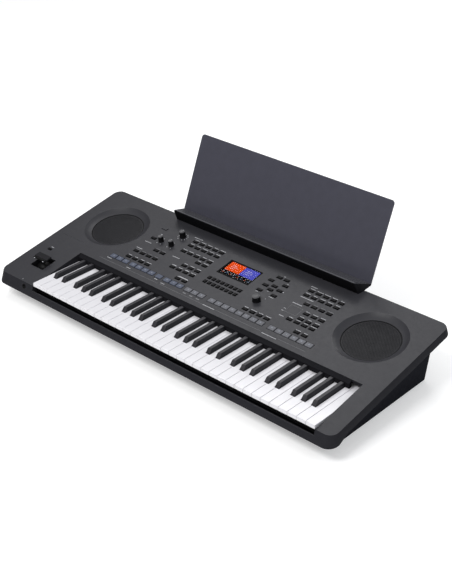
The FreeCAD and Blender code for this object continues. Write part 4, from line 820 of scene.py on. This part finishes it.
lens_gloss = moulded("lens_gloss", LENS_LIGHT, roughness=0.04, grain=0.01, depth=0.0000005, mottle=0.01,
                     gloss=0.2)
lens_surface = lens_gloss.node_tree.nodes["Principled BSDF"]
lens_surface.inputs["Transmission Weight"].default_value = 1.0
lens_surface.inputs["IOR"].default_value = LENS_BEND
finish_nodes(lens_gloss, "display_lens")
screen_black = moulded("screen_black", paint(6, 6, 8), roughness=0.4, grain=0.002, depth=0.000001,
                       gloss=0.04)
screen_materials = [screen_black]
screen = bmesh.new()
bar(screen, panel_place(0, DISPLAY_S, SCREEN_H), *SCREEN_SIZE)
for number, (x, s, length, width, colour) in enumerate(TILES):
    screen_materials.append(lit("screen_tile_%d" % number, paint(*colour), TILE_GLOW))
    bar(screen, panel_place(x, s, TILE_H), length, width, TILE_DEPTH, number + 1)
screen_materials.append(lit("screen_text", paint(210, 205, 215), LINE_GLOW))
PALE_LINE = len(screen_materials) - 1
for x, s, length in SCREEN_LINES:
    bar(screen, panel_place(x, s, LINE_H), length, LINE_WIDTH, LINE_DEPTH, PALE_LINE)
screen_materials.append(lit("screen_amber", paint(190, 70, 30), MARK_GLOW))
screen_materials.append(lit("screen_teal", paint(40, 90, 130), MARK_GLOW))
for number in range(MARKS):
    x = MARK_START + MARK_PITCH * number
    mark, head = panel_place(x, MARK_S, TILE_H), panel_place(x, MARK_HEAD_S, TILE_H)
    bar(screen, mark, random.uniform(*MARK_LENGTHS), MARK_WIDTH, TILE_DEPTH, PALE_LINE + 1 + number % 2)
    bar(screen, head, random.uniform(*MARK_HEAD_LENGTHS), MARK_HEAD_WIDTH, TILE_DEPTH, PALE_LINE)
bar(screen, panel_place(0, DISPLAY_S - LENS_WIDTH / 2 + FRAME_LOW / 2), LENS_LENGTH, FRAME_LOW)
bar(screen, panel_place(0, DISPLAY_S + LENS_WIDTH / 2 - FRAME_HIGH / 2), LENS_LENGTH, FRAME_HIGH)
for x in (FRAME_SIDE / 2 - LENS_LENGTH / 2, LENS_LENGTH / 2 - FRAME_SIDE / 2):
    bar(screen, panel_place(x, DISPLAY_S), FRAME_SIDE, LENS_WIDTH)
piece_of("display_screen", screen, "case", screen_materials)


# Music rest: a smooth blue-grey plate that leans back from a ledge in the grained grey of the slab. It is
# moulded with tongues that drop into slots in the slab, and low ribs along the ledge hold a page. The
# ledge's front and ends, and strips in the grooves between the ribs, take darker copies as painted shade,
# and a pale bead along its lip is a painted highlight.
REST_ROUNDING = 0.0008
ON_PLATE, ON_LEDGE, ON_SHADED_FRONT, ON_SHADED_ENDS = range(4)
LEDGE_LIP = Vector((0.0, 0.37542, 0.16420))
LEDGE_FOOT = Vector((0.0, 0.42202, 0.14800))
LIP_HALF_WIDTH, FOOT_HALF_WIDTH = 0.2730, 0.2835
LEDGE_MARGIN = 0.001
END_TURN, TOP_TURN = 0.6, 0.3
LIP_SHARE, RIB_SHARES = 0.022, (0.13, 0.37, 0.61, 0.85)
RIB_SHORTER = 4
LIP_SECTION, RIB_SECTION, GROOVE_SECTION = (1.6, 1.2), (8.6, 1.2), (1.8, 0.2)
GROOVE_OFFSET = 5.9
RIB, LIP_HIGHLIGHT, GROOVE_SHADE = range(3)


def rest_finish(face):
    """Which finish a face of the rest takes: the plate's, the ledge top's, or painted shade on the ledge's
    front or ends.
    """
    middle = face.calc_center_median()
    low = middle.z < LEDGE_FOOT.z + LEDGE_MARGIN
    forward = middle.y < LEDGE_FOOT.y + PANEL_FRONT.y - LEDGE_MARGIN
    if not (low or forward):
        return ON_PLATE
    if abs(face.normal.x) > END_TURN:
        return ON_SHADED_ENDS
    return ON_LEDGE if face.normal.z > TOP_TURN else ON_SHADED_FRONT


def along_ledge(share):
    """Place on the ledge a share of the way from its lip to its foot, and the length of a rib there."""
    half = LIP_HALF_WIDTH + (FOOT_HALF_WIDTH - LIP_HALF_WIDTH) * share
    spot = LEDGE_LIP.lerp(LEDGE_FOOT, share) + Vector((0.0, PANEL_FRONT.y, 0.0))
    fall_angle = math.atan2(LEDGE_FOOT.z - LEDGE_LIP.z, LEDGE_FOOT.y - LEDGE_LIP.y)
    return place_at(spot, fall_angle), 2 * half / MILLIMETRE - RIB_SHORTER


rest_plastic = moulded("rest_plastic", paint(66, 66, 76), roughness=0.42, grain=0.0007, depth=0.000012,
                       mottle=0.04, gloss=0.25, wear_and_highlight=0.04)
ledge_plastic = moulded("ledge_plastic", paint(60, 60, 65), roughness=0.45, grain=0.0006, depth=0.00003,
                        mottle=0.04, gloss=0.2, wear_and_highlight=0.1)
# A pale bead along the lip: painted highlight.
lip_painted_highlight = moulded("lip_painted_highlight", paint(92, 92, 97), roughness=0.35, grain=0.0006, depth=0.00002,
                      mottle=0.06, gloss=0.4, wear_and_highlight=0.1)
# Darker copies for the ledge's ends and front: painted shade.
end_painted_shade = moulded("end_painted_shade", paint(27, 27, 30), roughness=0.6, grain=0.0009, depth=0.00006,
                      mottle=0.04, gloss=0.04, wear_and_highlight=0.05)
under_painted_shade = moulded("under_painted_shade", paint(15, 15, 17), roughness=0.6, grain=0.0006, depth=0.00003,
                        mottle=0.05, gloss=0.02)
rest_finishes_and_shades = [rest_plastic, ledge_plastic, under_painted_shade, end_painted_shade]
eased("music_rest", REST_ROUNDING, rest_finishes_and_shades, "music_rest", rest_finish)
ribs = bmesh.new()
# The pale bead along the lip, a painted highlight.
place, length = along_ledge(LIP_SHARE)
bar(ribs, place, length, *LIP_SECTION, LIP_HIGHLIGHT)
for share in RIB_SHARES:
    place, length = along_ledge(share)
    bar(ribs, place, length, *RIB_SECTION, RIB)
    # A dark strip in each groove: painted shade.
    bar(ribs, place @ Matrix.Translation((0.0, GROOVE_OFFSET, 0.0)), length, *GROOVE_SECTION, GROOVE_SHADE)
piece_of("music_rest_ribs", ribs, "music_rest", [ledge_plastic, lip_painted_highlight, under_painted_shade])


# Studio: a wide pale floor of matt acrylic, lit a little from within, under a white sky that is brightest
# overhead. Four soft lights stand round it, and the camera is where the photograph was taken.
FLOOR_REACH = 40.0
FLOOR_CORNERS = [(-FLOOR_REACH, -FLOOR_REACH, 0), (FLOOR_REACH, -FLOOR_REACH, 0),
                 (FLOOR_REACH, FLOOR_REACH, 0), (-FLOOR_REACH, FLOOR_REACH, 0)]
FLOOR_GLOW = 0.4
WHITE = (1.0, 1.0, 1.0)
SKY_DARK, SKY_FULL, SKY_STRENGTH, SKY_LOW = 0.42, 0.9, 0.9, 0.05
SKY_AIM = (0.0, -0.26, 0.966)
LIGHTS = {"back": ((-1.3, 1.3, 2.4), (0.1, 0.0, 0.1), (1.7, 1.2), 27.0, WHITE),
          "front": ((0.0, -1.8, 2.4), (0.0, -0.15, 0.07), (1.2, 0.9), 46.0, WHITE),
          "rear": ((0.4, 3.0, 1.1), (0.0, 0.2, 0.1), (2.0, 0.8), 22.0, WHITE),
          "right": ((2.0, 1.05, 1.8), (0.4, 0.0, 0.1), (1.2, 0.8), 9.0, (0.82, 0.9, 1.0))}
VIEW_TURN, VIEW_DROP = math.radians(42.04), math.radians(29.83)
VIEW_PLACE = (1.5867, -1.7466, 1.4450)
VIEW_LENS, VIEW_SENSOR, VIEW_END = 73.77, 36.0, 100.0


def aimed(thing, place, direction):
    """Puts a light or the camera into the scene at a place, looking in a direction."""
    stand = bpy.data.objects.new(thing.name, thing)
    stand.location = place
    stand.rotation_euler = direction.to_track_quat("-Z", "Y").to_euler()
    bpy.context.scene.collection.objects.link(stand)
    return stand


floor_mesh = bpy.data.meshes.new("floor")
floor_mesh.from_pydata(FLOOR_CORNERS, [], [(0, 1, 2, 3)])
floor = bpy.data.objects.new("floor", floor_mesh)
bpy.context.scene.collection.objects.link(floor)
floor_acrylic = moulded("floor_acrylic", paint(222, 222, 222), roughness=0.9, grain=0.01, depth=0.00001,
                        mottle=0.003, gloss=0.0)
floor_surface = floor_acrylic.node_tree.nodes["Principled BSDF"]
floor_surface.inputs["Emission Color"].default_value = (*WHITE, 1.0)
floor_surface.inputs["Emission Strength"].default_value = FLOOR_GLOW
floor_mesh.materials.append(floor_acrylic)

world = bpy.data.worlds.new("studio")
bpy.context.scene.world = world
world.use_nodes = True
sky = world.node_tree
heading = sky.nodes.new("ShaderNodeTexCoord")
nearness = sky.nodes.new("ShaderNodeVectorMath")
nearness.operation = "DOT_PRODUCT"
nearness.inputs[1].default_value = SKY_AIM
sky.links.new(heading.outputs["Generated"], nearness.inputs[0])
overhead = spread(sky, nearness.outputs["Value"], SKY_LOW, SKY_STRENGTH, SKY_DARK, SKY_FULL)
sky.links.new(overhead, sky.nodes["Background"].inputs["Strength"])
sky.nodes["Background"].inputs["Color"].default_value = (*WHITE, 1.0)

for name, (place, aim, size, power, colour) in LIGHTS.items():
    light = bpy.data.lights.new(name, "AREA")
    light.color = colour
    light.shape = "RECTANGLE"
    light.size, light.size_y = size
    light.energy = power
    aimed(light, place, Vector(aim) - Vector(place))

camera = bpy.data.cameras.new("camera")
camera.lens = VIEW_LENS
camera.sensor_width = VIEW_SENSOR
camera.clip_end = VIEW_END
level = math.cos(VIEW_DROP)
forward = Vector((-math.sin(VIEW_TURN) * level, math.cos(VIEW_TURN) * level, -math.sin(VIEW_DROP)))
bpy.context.scene.camera = aimed(camera, VIEW_PLACE, forward)
bpy.context.scene.view_settings.view_transform = "Standard"
